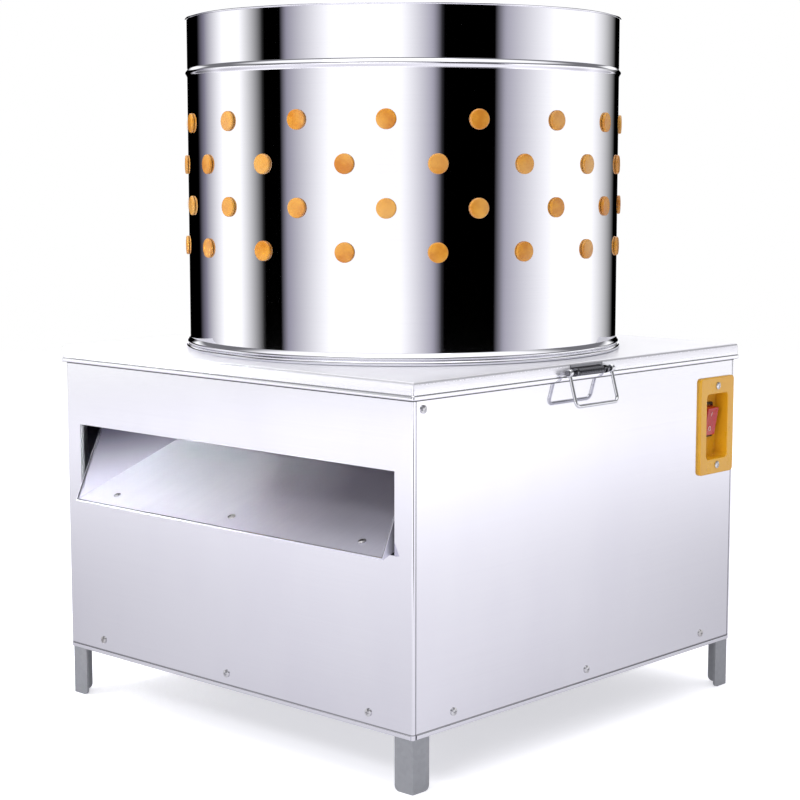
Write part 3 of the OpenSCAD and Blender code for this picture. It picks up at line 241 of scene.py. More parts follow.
class Finish:
    """Nodes of one material or of the world, added by node() and joined by the sockets that it is given."""

    def __init__(self, owner):
        owner.use_nodes = True
        self.owner, self.tree = owner, owner.node_tree
        self.tree.nodes.clear()

    def node(self, kind, settings={}, sockets={}):
        """A node of any type: its settings are set first, then each socket gets a value or a link."""
        made = self.tree.nodes.new(kind)
        for key, value in settings.items():
            if key == "stops":
                self.stops(made.color_ramp, value)
            else:
                setattr(made, key, value)
        for key, value in sockets.items():
            socket = value.socket if isinstance(value, Amount) else value
            if isinstance(socket, bpy.types.NodeSocket):
                self.tree.links.new(socket, made.inputs[key])
            else:
                made.inputs[key].default_value = socket
        return made

    def stops(self, ramp, stops):
        """Places the ramp's stops, pairs of a position and a grey, whose middle tones lean to violet."""
        for position, grey in stops[1:-1]:
            ramp.elements.new(position).color = (grey, grey ** 1.03, grey ** 0.88, 1)
        for element, (position, grey) in ((ramp.elements[0], stops[0]), (ramp.elements[-1], stops[-1])):
            element.position, element.color = position, (grey, grey, grey, 1)

    def place(self, scale=(1, 1, 1)):
        """Object coordinates, stretched by scale."""
        where = self.node("ShaderNodeTexCoord").outputs["Object"]
        return self.node("ShaderNodeMapping", {}, {"Vector": where, "Scale": scale}).outputs[0]

    def axes(self):
        """Object coordinates as three amounts, in metres."""
        where = self.node("ShaderNodeTexCoord").outputs["Object"]
        split = self.node("ShaderNodeSeparateXYZ", {}, {"Vector": where})
        return [Amount(self, s) for s in split.outputs]

    def noise(self, where, scale, detail=3.0, roughness=0.55):
        """Cloudy noise from 0 to 1, with scale clouds to the metre."""
        sockets = {"Vector": where, "Scale": scale, "Detail": detail, "Roughness": roughness}
        return Amount(self, self.node("ShaderNodeTexNoise", {}, sockets).outputs[0])

    def cells(self, where, scale):
        """A random number for each cell of a crystal pattern."""
        made = self.node("ShaderNodeTexVoronoi", {}, {"Vector": where, "Scale": scale})
        return Amount(self, self.node("ShaderNodeSeparateColor", {}, {0: made.outputs["Color"]}).outputs[0])

    def blend(self, share, first, second):
        """Colour first where share is 0 and second where it is 1."""
        sockets = {0: share, 6: first, 7: second}
        return self.node("ShaderNodeMix", {"data_type": "RGBA"}, sockets).outputs[2]

    def bump(self, height, depth, under=None):
        """Normal of a height from 0 to 1 that stands for depth in metres, over another normal."""
        sockets = {"Height": height, "Distance": depth, "Strength": 1.0}
        if under is not None:
            sockets["Normal"] = under
        return self.node("ShaderNodeBump", {}, sockets).outputs[0]

    def shader(self, **sockets):
        """The surface: names use _ for a space."""
        made = self.node("ShaderNodeBsdfPrincipled", {}, {k.replace("_", " "): v for k, v in sockets.items()})
        self.node("ShaderNodeOutputMaterial", {}, {"Surface": made.outputs[0]})
        return self.owner


def linear(red, green, blue):
    """Screen colour from 0 to 255 as a linear colour."""
    return tuple((c / 255) ** 2.2 for c in (red, green, blue)) + (1.0,)


def new_finish(name):
    """An empty material to add nodes to."""
    return Finish(bpy.data.materials.new(name))


wear_band, crease_fade = 18 * MM, 0.3 * MM
# Dark grey painted into creases as shade
painted_crease_shade = linear(48, 48, 54)
above_all = 9.0  # a height in metres that the part doesn't reach


def polished_sheet(name, grey, grain, rough, wave, creases=(), worn=above_all):
    """Polished stainless sheet of a screen grey: slow waves of the sheet of height wave, fine polishing grain
    stretched by grain, hazy wiped smears, painted shade that darkens creases, each (lowest height, highest
    height, share), and a polish that is dull from the height worn upwards."""
    f = new_finish(name)
    waves = f.noise(f.place(), 4.0, 1.0)
    lines = f.noise(f.place(grain), 1.0, 2.0)
    smears = f.noise(f.place((3, 3, 1.2)), 3.0, 3.0, 0.5).rise(0.4, 0.8)
    tone = f.blend(lines * 0.5 + smears * 0.4, linear(grey, grey, grey + 5), linear(grey - 8, grey - 9, grey - 1))
    relief = f.bump(lines, 0.0000006, f.bump(waves, wave))
    height = f.axes()[2]
    dull = height.rise(worn - wear_band, worn)
    haze = rough * (0.8 + lines * 0.5 + smears * 0.4) + dull * 0.2
    # Each crease band is painted shade: the sheet turns darker and hazier between its two heights
    for start, end, depth in creases:
        crease_shade = height.rise(start - crease_fade, start) * height.rise(end + crease_fade, end) * depth
        tone, haze = f.blend(crease_shade, tone, painted_crease_shade), haze + crease_shade * 0.35
    return f.shader(Base_Color=tone, Metallic=1 - dull * 0.7, Normal=relief, Roughness=haze,
                    Specular_IOR_Level=0.15)


def satin_sheet(name, top_shade_grey):
    """Mill-finished sheet of the chute: rolling lines, water haze, and a dull silver that spreads the light;
    upwards it is painted darker towards the given screen grey, as painted shade under the opening's top edge."""
    f = new_finish(name)
    lines = f.noise(f.place((260, 6, 6)), 1.0, 3.0)
    haze = f.noise(f.place((4, 2, 4)), 3.0, 4.0).rise(0.35, 0.8)
    unshaded_tone = f.blend(lines * 0.4 + haze * 0.5, linear(231, 230, 244), linear(215, 213, 231))
    # Painted shade, deepening upwards from a little above the chute's floor
    painted_shade_share = f.axes()[2].rise(low["chute_floor"][2] + 5 * MM, low["chute_floor"][2] + 90 * MM)
    tone = f.blend(painted_shade_share, unshaded_tone, linear(top_shade_grey, top_shade_grey - 2, top_shade_grey + 15))
    return f.shader(Base_Color=tone, Metallic=0.6, Roughness=0.34 + lines * 0.08 + haze * 0.08,
                    Normal=f.bump(lines, 0.000004))


def zinc_plate():
    """Galvanised angle and plate: crystal spangle of mixed greys, dull streaks and a fine tooth."""
    f = new_finish("zinc_plate")
    spangle = f.cells(f.place(), 240.0)
    dull = f.noise(f.place((6, 6, 2)), 4.0, 4.0)
    tone = f.blend(spangle * 0.35 + dull * 0.5, linear(152, 154, 158), linear(170, 172, 176))
    relief = f.bump(f.noise(f.place(), 420.0, 2.0), 0.000012)
    return f.shader(Base_Color=tone, Metallic=0.7, Roughness=0.36 + spangle * 0.03 + dull * 0.1, Normal=relief)


def turned_steel():
    """Machined steel: fine turning lines round the upright axes, with a faint brown haze of oil."""
    f = new_finish("turned_steel")
    lines = f.noise(f.place((4, 4, 1400)), 1.0, 2.0)
    oil = f.noise(f.place(), 30.0, 3.0).rise(0.4, 0.8)
    tone = f.blend(oil * 0.6, linear(214, 214, 217), linear(186, 180, 170))
    return f.shader(Base_Color=tone, Metallic=1.0, Roughness=0.16 + lines * 0.14 + oil * 0.1,
                    Normal=f.bump(lines, 0.000006))


def sand_casting():
    """Painted casting: sand-grain skin, paint that thins to a lighter grey on the grain's tops."""
    f = new_finish("sand_casting")
    grain = f.noise(f.place(), 520.0, 4.0, 0.7)
    patches = f.noise(f.place(), 22.0, 3.0)
    tone = f.blend(grain.rise(0.45, 0.8) * 0.5 + patches * 0.3, linear(62, 65, 70), linear(112, 115, 119))
    return f.shader(Base_Color=tone, Metallic=0.15, Roughness=0.5 + patches * 0.2,
                    Normal=f.bump(grain, 0.00022))


def motor_enamel():
    """Blue-grey enamel on the motor: orange-peel skin and a film of dust in patches."""
    f = new_finish("motor_enamel")
    peel = f.noise(f.place(), 260.0, 2.0)
    dust = f.noise(f.place(), 26.0, 4.0).rise(0.42, 0.8)
    tone = f.blend(dust * 0.45, linear(76, 106, 134), linear(124, 138, 148))
    return f.shader(Base_Color=tone, Roughness=0.3 + dust * 0.3, Normal=f.bump(peel, 0.00005),
                    Coat_Weight=0.25 - dust * 0.2)


def finger_gum():
    """Natural rubber: mottled amber, paler where it has bloomed and peach where a batch differs, with a
    moulded satin skin."""
    f = new_finish("finger_gum")
    mottle = f.noise(f.place(), 55.0, 4.0, 0.6)
    bloom = f.noise(f.place(), 14.0, 2.0).rise(0.45, 0.75)
    deep = f.blend(mottle.rise(0.3, 0.7), linear(196, 118, 26), linear(224, 154, 48))
    batch = f.noise(f.place(), 17.0, 0.0).rise(0.42, 0.58)
    tone = f.blend(batch * 0.3, f.blend(bloom * 0.4, deep, linear(230, 178, 84)), linear(231, 184, 112))
    return f.shader(Base_Color=tone, Roughness=0.3 + mottle * 0.14, Coat_Weight=0.15 + bloom * 0.15,
                    Subsurface_Weight=0.06, Subsurface_Radius=(0.004, 0.002, 0.0008),
                    Normal=f.bump(f.noise(f.place(), 900.0, 3.0), 0.00003))


def plated_wire(name, deep, pale):
    """Plated wire: bright skin with drawing lines and small dull freckles."""
    f = new_finish(name)
    lines = f.noise(f.place((900, 30, 900)), 1.0, 2.0)
    freckles = f.noise(f.place(), 240.0, 2.0).rise(0.62, 0.76)
    tone = f.blend(freckles * 0.7, pale, deep)
    return f.shader(Base_Color=tone, Metallic=1.0, Roughness=0.12 + lines * 0.08 + freckles * 0.2,
                    Normal=f.bump(lines, 0.000006))


def moulded(name, deep, pale, rough, coat, tooth):
    """Moulded plastic: a slight drift of colour, a spark-eroded tooth of the given depth, rubbed patches."""
    f = new_finish(name)
    drift = f.noise(f.place(), 18.0, 3.0)
    grain = f.noise(f.place(), 1100.0, 2.0)
    rubbed = f.noise(f.place(), 45.0, 4.0).rise(0.5, 0.75)
    return f.shader(Base_Color=f.blend(drift, deep, pale), Roughness=rough + grain * 0.08 - rubbed * 0.06,
                    Coat_Weight=coat * (1 - rubbed * 0.4), Normal=f.bump(grain, tooth))


def dusty_rubber(name, ribs):
    """Black rubber with a grey bloom and a fine cloth or moulding line pattern."""
    f = new_finish(name)
    bloom = f.noise(f.place(), 40.0, 4.0).rise(0.4, 0.8)
    weave = f.noise(f.place((ribs, ribs, 300)), 1.0, 2.0)
    tone = f.blend(bloom * 0.6, linear(22, 22, 24), linear(66, 66, 68))
    return f.shader(Base_Color=tone, Roughness=0.62 + weave * 0.2, Normal=f.bump(weave, 0.00006))


lid_top, skirt_low, hem_tall = high["lid"][2], low["lid"][2], 5 * MM
fold_low = low["front_panel"][2] + hem_tall
# Painted shade lines on the panels, under the lid's hem and above the bottom fold, and on the lid at its hem; the
# lid's top fold gets a painted reflection of something dark
panel_creases = ((skirt_low - 1.5 * MM, skirt_low + 4 * MM, 0.9), (fold_low, fold_low + 0.8 * MM, 0.6))
lid_creases = ((skirt_low - 1 * MM, skirt_low + 0.5 * MM, 0.25),
               (skirt_low + hem_tall - 0.9 * MM, skirt_low + hem_tall, 0.15),
               (lid_top - 2.4 * MM, lid_top - 1 * MM, 0.36))
level_grain, cross_grain = (3, 3, 800), (3, 300, 300)
finishes = {
    "polished_steel": polished_sheet("polished_sheet", 229, level_grain, 0.07, 0.0002, panel_creases),
    "zinc_steel": zinc_plate(),
    "machined_steel": turned_steel(),
    "cast_iron": sand_casting(),
    "motor_paint": motor_enamel(),
    "finger_rubber": finger_gum(),
    "bright_wire": plated_wire("plated_wire", linear(140, 139, 138), linear(222, 223, 227)),
    "black_plastic": moulded("black_moulding", linear(24, 24, 26), linear(40, 40, 43), 0.42, 0.1, 0.00003),
    "yellow_plastic": moulded("amber_moulding", linear(226, 160, 22), linear(240, 182, 46), 0.26, 0.35, 0.000012),
    "red_plastic": moulded("red_moulding", linear(178, 18, 30), linear(206, 34, 48), 0.2, 0.5, 0.000006),
    "belt_rubber": dusty_rubber("belt_skin", 260),
    "seal_rubber": dusty_rubber("seal_skin", 60),
}
drum_sheet = polished_sheet("drum_sheet", 238, level_grain, 0.025, 0.00005)
lid_sheet = polished_sheet("lid_sheet", 241, cross_grain, 0.08, 0.00005, lid_creases, lid_top - 0.4 * MM)
chute_sheet = satin_sheet("chute_floor_sheet", 216)
chute_wall = satin_sheet("chute_wall_sheet", 66)
spring_steel = plated_wire("spring_steel", linear(70, 70, 74), linear(118, 118, 123))
pale_mark = moulded("pale_marking", linear(236, 214, 210), linear(248, 232, 228), 0.4, 0.0, 0.00001)

own_finish = {"chute_floor": chute_sheet, "chute_collar": chute_sheet, "chute_left_wall": chute_wall,
              "chute_right_wall": chute_wall, "handle_brackets": spring_steel}
for name, thing in cad.items():
    thing.data.materials.clear()
    thing.data.materials.append(own_finish.get(name, finishes[node_slot[name]]))


# Drum

drum_steps = 288
bead_out, bead_tall, drum_sheet_t = 2.2 * MM, 9 * MM, 1.2 * MM
wall_out = high["drum_shell"][0] - bead_out
wall_in = wall_out - drum_sheet_t
bead_high = lid_top + 317.5 * MM
rim_round = 1.3 * MM
rim_high = high["drum_shell"][2] - rim_round
hold = 0.25 * MM  # from an edge to the level beside it that keeps the face's shading flat


def bead_line(radius, way):
    """The bead on a wall of the given radius, r = radius + h cos^2 of the height's share of a half turn, with
    one more level of the plain wall at both ends. way is 1 upwards and -1 downwards."""
    s = way * np.linspace(-0.5, 0.5, 17)
    s = np.concatenate([s[:1] * 1.06, s, s[-1:] * 1.06])
    bulge = np.where(np.abs(s) < 0.5, np.cos(math.pi * s) ** 2, 0)
    return np.stack([radius + bead_out * bulge, bead_high + bead_tall * 1.15 * s], -1)


rim_middle = (wall_in + rim_round + 0.2 * MM, rim_high)
drum_profile = np.vstack([
    [(wall_out, lid_top), (wall_out, lid_top + hold)],
    bead_line(wall_out, 1),
    [(wall_out, rim_high - 1.9 * MM), (wall_out, rim_high - 1.6 * MM)],
    arc(rim_middle, rim_round, -103, 180, 22),
    [(wall_in, rim_high - 0.1 * MM), (wall_in, rim_high - 0.4 * MM)],
    bead_line(wall_in, -1),
    [(wall_in, lid_top + hold), (wall_in, lid_top)]])
piece("drum_wall", lathe(drum_profile, drum_steps, closed=True), "lid_and_drum", "polished_steel", drum_sheet,
      "drum_shell")

roll = 2.7 * MM
roll_at = high["drum_base_ring"][0] - roll
slip = 0.03 * MM
ring_in, ring_top = wall_out + slip, high["drum_base_ring"][2]
ring_profile = np.vstack([
    [(ring_in, lid_top), (roll_at - hold, lid_top)],
    arc((roll_at, lid_top + roll), roll, -90, 76, 16),
    arc((roll_at - roll / 2, lid_top + 3 * roll), roll, -62, 50, 14),
    [(ring_in + 0.3 * MM, ring_top - 0.05 * MM), (ring_in, ring_top)]])
piece("drum_foot", lathe(ring_profile, drum_steps, closed=True), "lid_and_drum", "polished_steel", drum_sheet,
      "drum_base_ring")


# Fingers

finger_len, finger_steps = 80 * MM, 22
body_at_neck, body_at_tip = 9.5 * MM, 7.5 * MM
ribs_from, rib_pitch, rib_wide, rib_out = 0.45 * finger_len, 9.3 * MM, 4 * MM, 0.9 * MM


def finger_profile(sheet):
    """Half outline of a finger from its domed head, above zero, to its round tip below a sheet:
    the body's radius falls evenly with depth, and each of its four ribs adds cos^2 over its width."""
    head = np.vstack([
        [(0, 3.6 * MM), (4 * MM, 3.54 * MM), (7 * MM, 3.36 * MM), (8.8 * MM, 3.1 * MM)],
        arc((9.3 * MM, 1.55 * MM), 1.6 * MM, 78, 8, 5),
        arc((10.3 * MM, 0.7 * MM), 0.7 * MM, 0, -90, 4)])
    collar = np.array([
        (8, 0), (8, -0.3), (10.2, -0.3), (10.5, -0.7), (10.5, -2.9), (10.2, -3.3), (9.4, -6.3)]) * MM
    collar[1:, 1] -= sheet
    share = np.linspace(-0.5, 0.5, 7)
    ribbed = ribs_from + np.arange(4)[:, None] * rib_pitch + share * rib_wide
    depth = np.concatenate([[10 * MM], ribbed.ravel(), [finger_len - body_at_tip]])
    ribs = np.concatenate([[0], np.tile(np.cos(math.pi * share) ** 2, 4), [0]])
    body = body_at_neck + (body_at_tip - body_at_neck) * depth / finger_len + rib_out * ribs
    tip = arc((0, 0), 1, 0, -90, 7)[1:] * body_at_tip + (0, body_at_tip - finger_len - sheet)
    tip[-1, 0] = 0
    return np.vstack([head, collar, np.stack([body, -depth - sheet], -1), tip])[::-1]


row_count, turn_step = 16, math.radians(22.5)
row_heights = np.array([540.5, 587.0, 633.5, 680.0]) * MM
row_starts, first_turn = np.array([0.55, 0, 0.55, 0]) * turn_step, math.radians(-51)
around = np.arange(row_count) * turn_step
angle = (first_turn + around[None] + row_starts[:, None]).ravel()
height = np.repeat(row_heights, row_count)
outward = np.stack([np.cos(angle), np.sin(angle), 0 * angle], -1)
sideways = np.stack([-np.sin(angle), np.cos(angle), 0 * angle], -1)
seat = outward * (wall_out + slip) + np.array([0, 0, 1]) * height[:, None]
up = np.array([[0, 0, 1.0]])
wall_finger = lathe(finger_profile(sheet=1.23 * MM), finger_steps)
piece("drum_finger_set", copies(wall_finger, places(sideways, up, outward, seat)),
      "lid_and_drum", "finger_rubber", finishes["finger_rubber"], "drum_fingers", sharp=40)

plate_pitch = 76 * MM
rings = high["plucking_plate"][0] - np.array([30, 90, 150]) * MM
ring_n = np.round(TURN * rings / plate_pitch).astype(int)
ring_r = np.repeat(rings, ring_n)
ring_a = np.concatenate([TURN / n * (np.arange(n) + i / 2) for i, n in enumerate(ring_n)])
under = np.stack([ring_r * np.cos(ring_a), ring_r * np.sin(ring_a), 0 * ring_a + low["plucking_plate"][2]], -1)
plate_finger = lathe(finger_profile(sheet=3 * MM), finger_steps)
piece("plate_finger_set", copies(plate_finger, places((1, 0, 0), (0, -1, 0), (0, 0, -1), under)),
      "plate_rotor", "finger_rubber", finishes["finger_rubber"], "plate_fingers", sharp=40)


# Lid

lid_half = high["lid"][:2]
hem_out, edge_r, sheet_t = 1 * MM, 3.7 * MM, 1.5 * MM
corner_r, mouth_r = 2.6 * MM, wall_in - 2.8 * MM
hem_top = skirt_low + hem_tall
lid_edge = arc((hem_out + edge_r, lid_top - edge_r), edge_r, 180, 90, 9)
lid_line = np.vstack([
    [(0.5 * MM, skirt_low), (0.15 * MM, skirt_low + 0.15 * MM), (0, skirt_low + 0.5 * MM),
     (0, hem_top - hem_out - 0.3 * MM), (0.12 * MM, hem_top - hem_out), (hem_out - 0.1 * MM, hem_top - 0.2 * MM),
     (hem_out, hem_top + 0.1 * MM), (hem_out, hem_top + 0.1 * MM + hold), (hem_out, lid_top - edge_r - hold)],
    lid_edge, [(hem_out + edge_r + hold, lid_top)]])


def lid_loop(inset, height):
    """The lid's outline drawn in by inset, at a height."""
    corner = max(corner_r - inset * 0.4, 0.9 * MM)
    line = rounded_loop(lid_half[0] - inset, lid_half[1] - inset, corner, steps=9, along=28)
    return level_loop(line, height)


outer = [lid_loop(d, z) for d, z in lid_line]
bearing = np.arctan2(outer[-1][:, 1], outer[-1][:, 0])
mouth = mouth_r * np.stack([np.cos(bearing), np.sin(bearing)], -1)
mouth_top = level_loop(mouth, lid_top)
mouth_low = mouth_top - (0, 0, sheet_t)
inner_in = hem_out + sheet_t
inner = [lid_loop(inner_in + hold, lid_top - sheet_t), lid_loop(inner_in, lid_top - sheet_t),
         lid_loop(inner_in, skirt_low)]
piece("lid_pan", loops(np.stack(outer + [mouth_top, mouth_low] + inner), closed=True), "lid_and_drum",
      "polished_steel", lid_sheet, "lid")


# Chute

hem_r = 1.2 * MM
lip = np.array([high["chute_floor"][0], low["chute_floor"][1] + hem_r, low["chute_floor"][2] + hem_r])
edge_run = (0, 38.2 * MM, 84 * MM)  # from the lip's corner up a wall's front edge
edge_top = lip + edge_run


def hem(start, end):
    """Folded safe edge along a straight edge of the chute: a round bead from start to end."""
    s = np.linspace(0, 1, 9)[:, None]
    path = start + (end - start) * s
    return tube(path, np.array([[0, 1.0, 0.3]]) + 0 * path, hem_r, 10)


to_left = np.array([-1, 1, 1])
hems = joined(hem(lip * to_left, lip), hem(lip * to_left, edge_top * to_left), hem(lip, edge_top))
piece("chute_hems", hems, "frame", "polished_steel", finishes["polished_steel"])


# Handles

bail_half, bail_long, bend_r, wire_r = 37 * MM, 37 * MM, 6 * MM, 2 * MM
bail_lean = math.radians(16)
leg_top, leg_low = -2.6 * MM, bend_r - bail_long


def handle_pin(side):
    """Middle of a handle's pin. side is 1 on the right and -1 on the left."""
    return joint_at["bail_right_swing" if side > 0 else "bail_left_swing"]


def bail(side):
    """Wire loop in a plane: leg, quarter bend, bar, quarter bend, leg, then leaned outwards about the pin,
    with a rounded eye on each end of the pin."""
    pin = handle_pin(side)
    bar = np.linspace(bend_r + hold - bail_half, bail_half - bend_r - hold, 8)
    y, z = np.vstack([
        np.column_stack([np.full(6, -bail_half), np.linspace(leg_top, leg_low - hold, 6)]),
        arc((bend_r - bail_half, leg_low), bend_r, 180, 270, 9),
        np.column_stack([bar, np.full(8, -bail_long)]),
        arc((bail_half - bend_r, leg_low), bend_r, 270, 360, 9),
        np.column_stack([np.full(6, bail_half), np.linspace(leg_low - hold, leg_top, 6)])]).T
    path = pin + np.stack([-z * math.sin(bail_lean) * side, y, z * math.cos(bail_lean)], -1)
    off_plane = np.array([[math.cos(bail_lean) * side, 0, math.sin(bail_lean)]])
    wire = tube(path, off_plane + 0 * path, wire_r, 14)
    section = rounded_loop(1.1 * MM, 2.4 * MM, 0.9 * MM, 5) + (3.2 * MM, 0)
    ends = pin + np.array([[0, -bail_half, 0], [0, bail_half, 0]])
    eyes = copies(lathe(section, 28, closed=True), places((1, 0, 0), (0, 0, -1), (0, 1, 0), ends))
    return joined(wire, eyes)


piece("bail_wire_right", bail(1), "bail_right", "bright_wire", finishes["bright_wire"], "handle_bail_right")
piece("bail_wire_left", bail(-1), "bail_left", "bright_wire", finishes["bright_wire"], "handle_bail_left")

coil_r, coil_half, curls, coil_bend, coil_wire = 3.5 * MM, 22 * MM, 15, 1.6 * MM, 0.8 * MM


def coil(side):
    """Helix round the pin, r (cos a, sin a) while y grows evenly, whose two ends bend into short straight
    runs along the pin."""
    a = np.linspace(0, TURN * curls, curls * 20 + 1)
    line = np.stack([coil_r * np.cos(a), 2 * coil_half * a / a[-1] - coil_half, coil_r * np.sin(a)], -1)
    out = np.stack([np.cos(a), 0 * a, np.sin(a)], -1)
    b = np.radians(np.array([18, 36, 54, 72, 90.0]))[:, None]
    along = np.array([0, 2 * coil_half / a[-1] / coil_r, 1])
    along /= np.linalg.norm(along)
    y = np.array([0, 1.0, 0])
    bend = coil_bend * (np.sin(b) * along + (1 - np.cos(b)) * y)
    bend = np.vstack([bend, bend[-1] + y * 2 * coil_wire])
    path = np.vstack([line[0] - bend[::-1], line, line[-1] + bend])
    radial = np.vstack([np.repeat(out[:1], len(bend), 0), out, np.repeat(out[-1:], len(bend), 0)])
    turned = np.array([side, 1, 1])
    return tube(handle_pin(side) + path * turned, radial * turned, coil_wire, 8)


piece("handle_coils", joined(coil(1), coil(-1)), "lid_and_drum", "bright_wire", spring_steel, "handle_springs")


# Switch

plate_t, floor_z = 3.5 * MM, -14.5 * MM
plate_mid = (low["switch_plate"] + high["switch_plate"]) / 2
switch_spot = places((0, 1, 0), (0, 0, 1), (1, 0, 0), (high["switch_plate"][0] - plate_t, *plate_mid[1:]))


def stack(levels):
    """Skin over rounded rectangles given as (middle x, middle y, half width, half height, corner, level)."""
    return loops(np.stack([level_loop(rounded_loop(a, b, r) + (x, y), z) for x, y, a, b, r, z in levels]))


def rolled(x, y, a, b, r, level, roll, inwards):
    """Levels of a rolled edge: a quarter round of radius roll over a face at level, on the outer edge, or
    down into an opening."""
    t = np.linspace(0, math.pi / 2, 5)
    inset = roll * (1 - np.cos(t))
    drop = roll * (1 - np.sin(t))
    if inwards:
        inset, drop = -inset[::-1], drop[::-1]
    return [(x, y, a - d, b - d, max(r - d, 0.3 * MM), level - h) for d, h in zip(inset, drop)]


# Outlines as (middle x, middle y, half width, half height, corner)
recess_y, rocker_y = -1 * MM, 5 * MM
plate = (0, 0, 35 * MM, 58 * MM, 5 * MM)
recess, recess_back = (0, recess_y, 22 * MM, 39 * MM, 5 * MM), (0, recess_y, 24 * MM, 41 * MM, 1 * MM)
plate_levels = [(*recess_back, floor_z - 2 * MM), (*recess_back, 0), (*plate, 0)]
plate_levels += rolled(*plate, plate_t, 1.3 * MM, inwards=False)
plate_levels += [(0, 0, 33.5 * MM, 56.5 * MM, 3.6 * MM, plate_t),
                 (0, recess_y, 23.2 * MM, 40.2 * MM, 6 * MM, plate_t)]
plate_levels += rolled(*recess, plate_t, 1 * MM, inwards=True)
plate_levels += [(*recess, floor_z + 1 * MM), (0, recess_y, 21.7 * MM, 38.7 * MM, 4.7 * MM, floor_z + 0.3 * MM),
                 (0, recess_y, 21 * MM, 38 * MM, 4 * MM, floor_z)]
piece("switch_cover", copies(stack(plate_levels), switch_spot), "frame", "yellow_plastic",
      finishes["yellow_plastic"], "switch_plate")

bezel_back, bezel_rim = (0, rocker_y, 12.9 * MM, 19.6 * MM, 0.8 * MM), (0, rocker_y, 14 * MM, 21 * MM, 2 * MM)
bezel_mouth, bezel_top = (0, rocker_y, 11.3 * MM, 18 * MM, 0.6 * MM), floor_z + 2.5 * MM
bezel_levels = [(*bezel_back, floor_z - 16 * MM), (*bezel_back, floor_z), (*bezel_rim, floor_z)]
bezel_levels += rolled(*bezel_rim, bezel_top, 0.9 * MM, inwards=False)
bezel_levels += rolled(*bezel_mouth, bezel_top, 0.5 * MM, inwards=True)
bezel_levels += [(*bezel_mouth, floor_z - 14.4 * MM)]
piece("switch_frame", copies(stack(bezel_levels), switch_spot), "frame", "black_plastic",
      finishes["black_plastic"], "switch_bezel")

tilt = math.radians(10)
rocker_up, rocker_out = (math.sin(tilt), 0, math.cos(tilt)), (math.cos(tilt), 0, -math.sin(tilt))
rocker_spot = places((0, 1, 0), rocker_up, rocker_out, joint_at["rocker_tilt"])
rocker_half, rocker_end, rocker_roll = 11 * MM, 17 * MM, 1.1 * MM
rocker_tall, rocker_dish = 9 * MM, 2.5 * MM


def rocker_top(y):
    """Dished top of the rocker: at its full height at both ends, and lower by the dish in the middle."""
    return rocker_tall - rocker_dish * (1 - (y / rocker_end) ** 2)


def rocker_skin():
    """Rounded loops from the narrow back up the sides, over a rolled edge and in across the dished top."""
    back = [(8.5 * MM, -8 * MM), (rocker_end, -1.5 * MM)]
    rows = [level_loop(rounded_loop(rocker_half, end, 0.8 * MM), z) for end, z in back]
    t = np.linspace(0, math.pi / 2, 5)
    edge = np.column_stack([rocker_roll * (1 - np.cos(t)), rocker_roll * (1 - np.sin(t))])
    inside = np.column_stack([np.array([1.4, 3, 5, 7, 9, 10.4]) * MM, np.zeros(6)])
    for inset, drop in np.vstack([edge, inside]):
        line = rounded_loop(rocker_half - inset, rocker_end - inset, max(1 * MM - inset, 0.3 * MM))
        rows.append(np.column_stack([line, rocker_top(line[:, 1]) - drop]))
    return loops(np.stack(rows))


piece("rocker_key", copies(rocker_skin(), rocker_spot), "rocker_switch", "red_plastic", finishes["red_plastic"],
      "rocker")

mark_wide, mark_tall, mark_off, mark_r = 2.3 * MM, 2.6 * MM, 9 * MM, 0.45 * MM


def mark(x, y):
    """A moulded line on the rocker's top along points x, y, half sunk in it."""
    path = np.stack([x, y, rocker_top(y) + 0.02 * MM], -1)
    return tube(path, up + 0 * path, mark_r, 8)


stroke = np.linspace(-mark_tall, mark_tall, 9)
round_t = np.linspace(0, TURN, 33)
marks = joined(mark(0 * stroke, mark_off + stroke),
               mark(mark_wide * np.cos(round_t), mark_tall * np.sin(round_t) - mark_off))
piece("rocker_marks", copies(marks, rocker_spot), "rocker_switch", "red_plastic", pale_mark)


# Floor and tent of light

# Brightness of the tent's wall by its angle from the camera's side, in degrees: dark flags stand between
# white cloths, and each cloth shades off towards its flag
tent_wall = (
    (-180, 1), (-169, 1), (-165, 0), (-137, 0), (-128, 0.2), (-108, 1), (-94, 1), (-77, 0), (-66, 0),
    (-62, 0.28), (-38, 1), (-1, 1), (15, 0.37), (20, 0), (48, 0), (54, 0.37), (84, 1), (117, 1), (150, 0),
    (165, 0), (169, 1), (180, 1))
# Shares of a turn between which the sides that the panels mirror begin and end, on both hands
sides_begin, sides_end = (0.14, 0.17), (0.31, 0.34)
eye_x, eye_y, eye_turn = 0.682, 0.731, math.radians(47)  # the camera stands towards (eye_x, -eye_y)
floor_rings, floor_drop = (5.0, 3.2, 1.5, 0.8, 0), 0.4 * MM


def round_tent(f, ahead, aside):
    """The tent's brightness in a level direction, and that direction's angle from the camera's side as a
    share of a turn: angle = arctan(aside / ahead)."""
    share = aside.maths("ARCTAN2", aside, ahead) / TURN
    stops = [((a + 180) / 360, light) for a, light in tent_wall]
    wall = f.node("ShaderNodeValToRGB", {"stops": stops}, {0: share + 0.5}).outputs[0]
    return wall, abs(share)


def seen_by_camera(f):
    """1 for what the camera itself sees and 0 for what is mirrored or lit."""
    return f.node("ShaderNodeLightPath").outputs["Is Camera Ray"]


def lavender(grey):
    """A screen grey with a slight violet cast, as a linear colour."""
    return linear(grey, grey - 1, grey + 4)


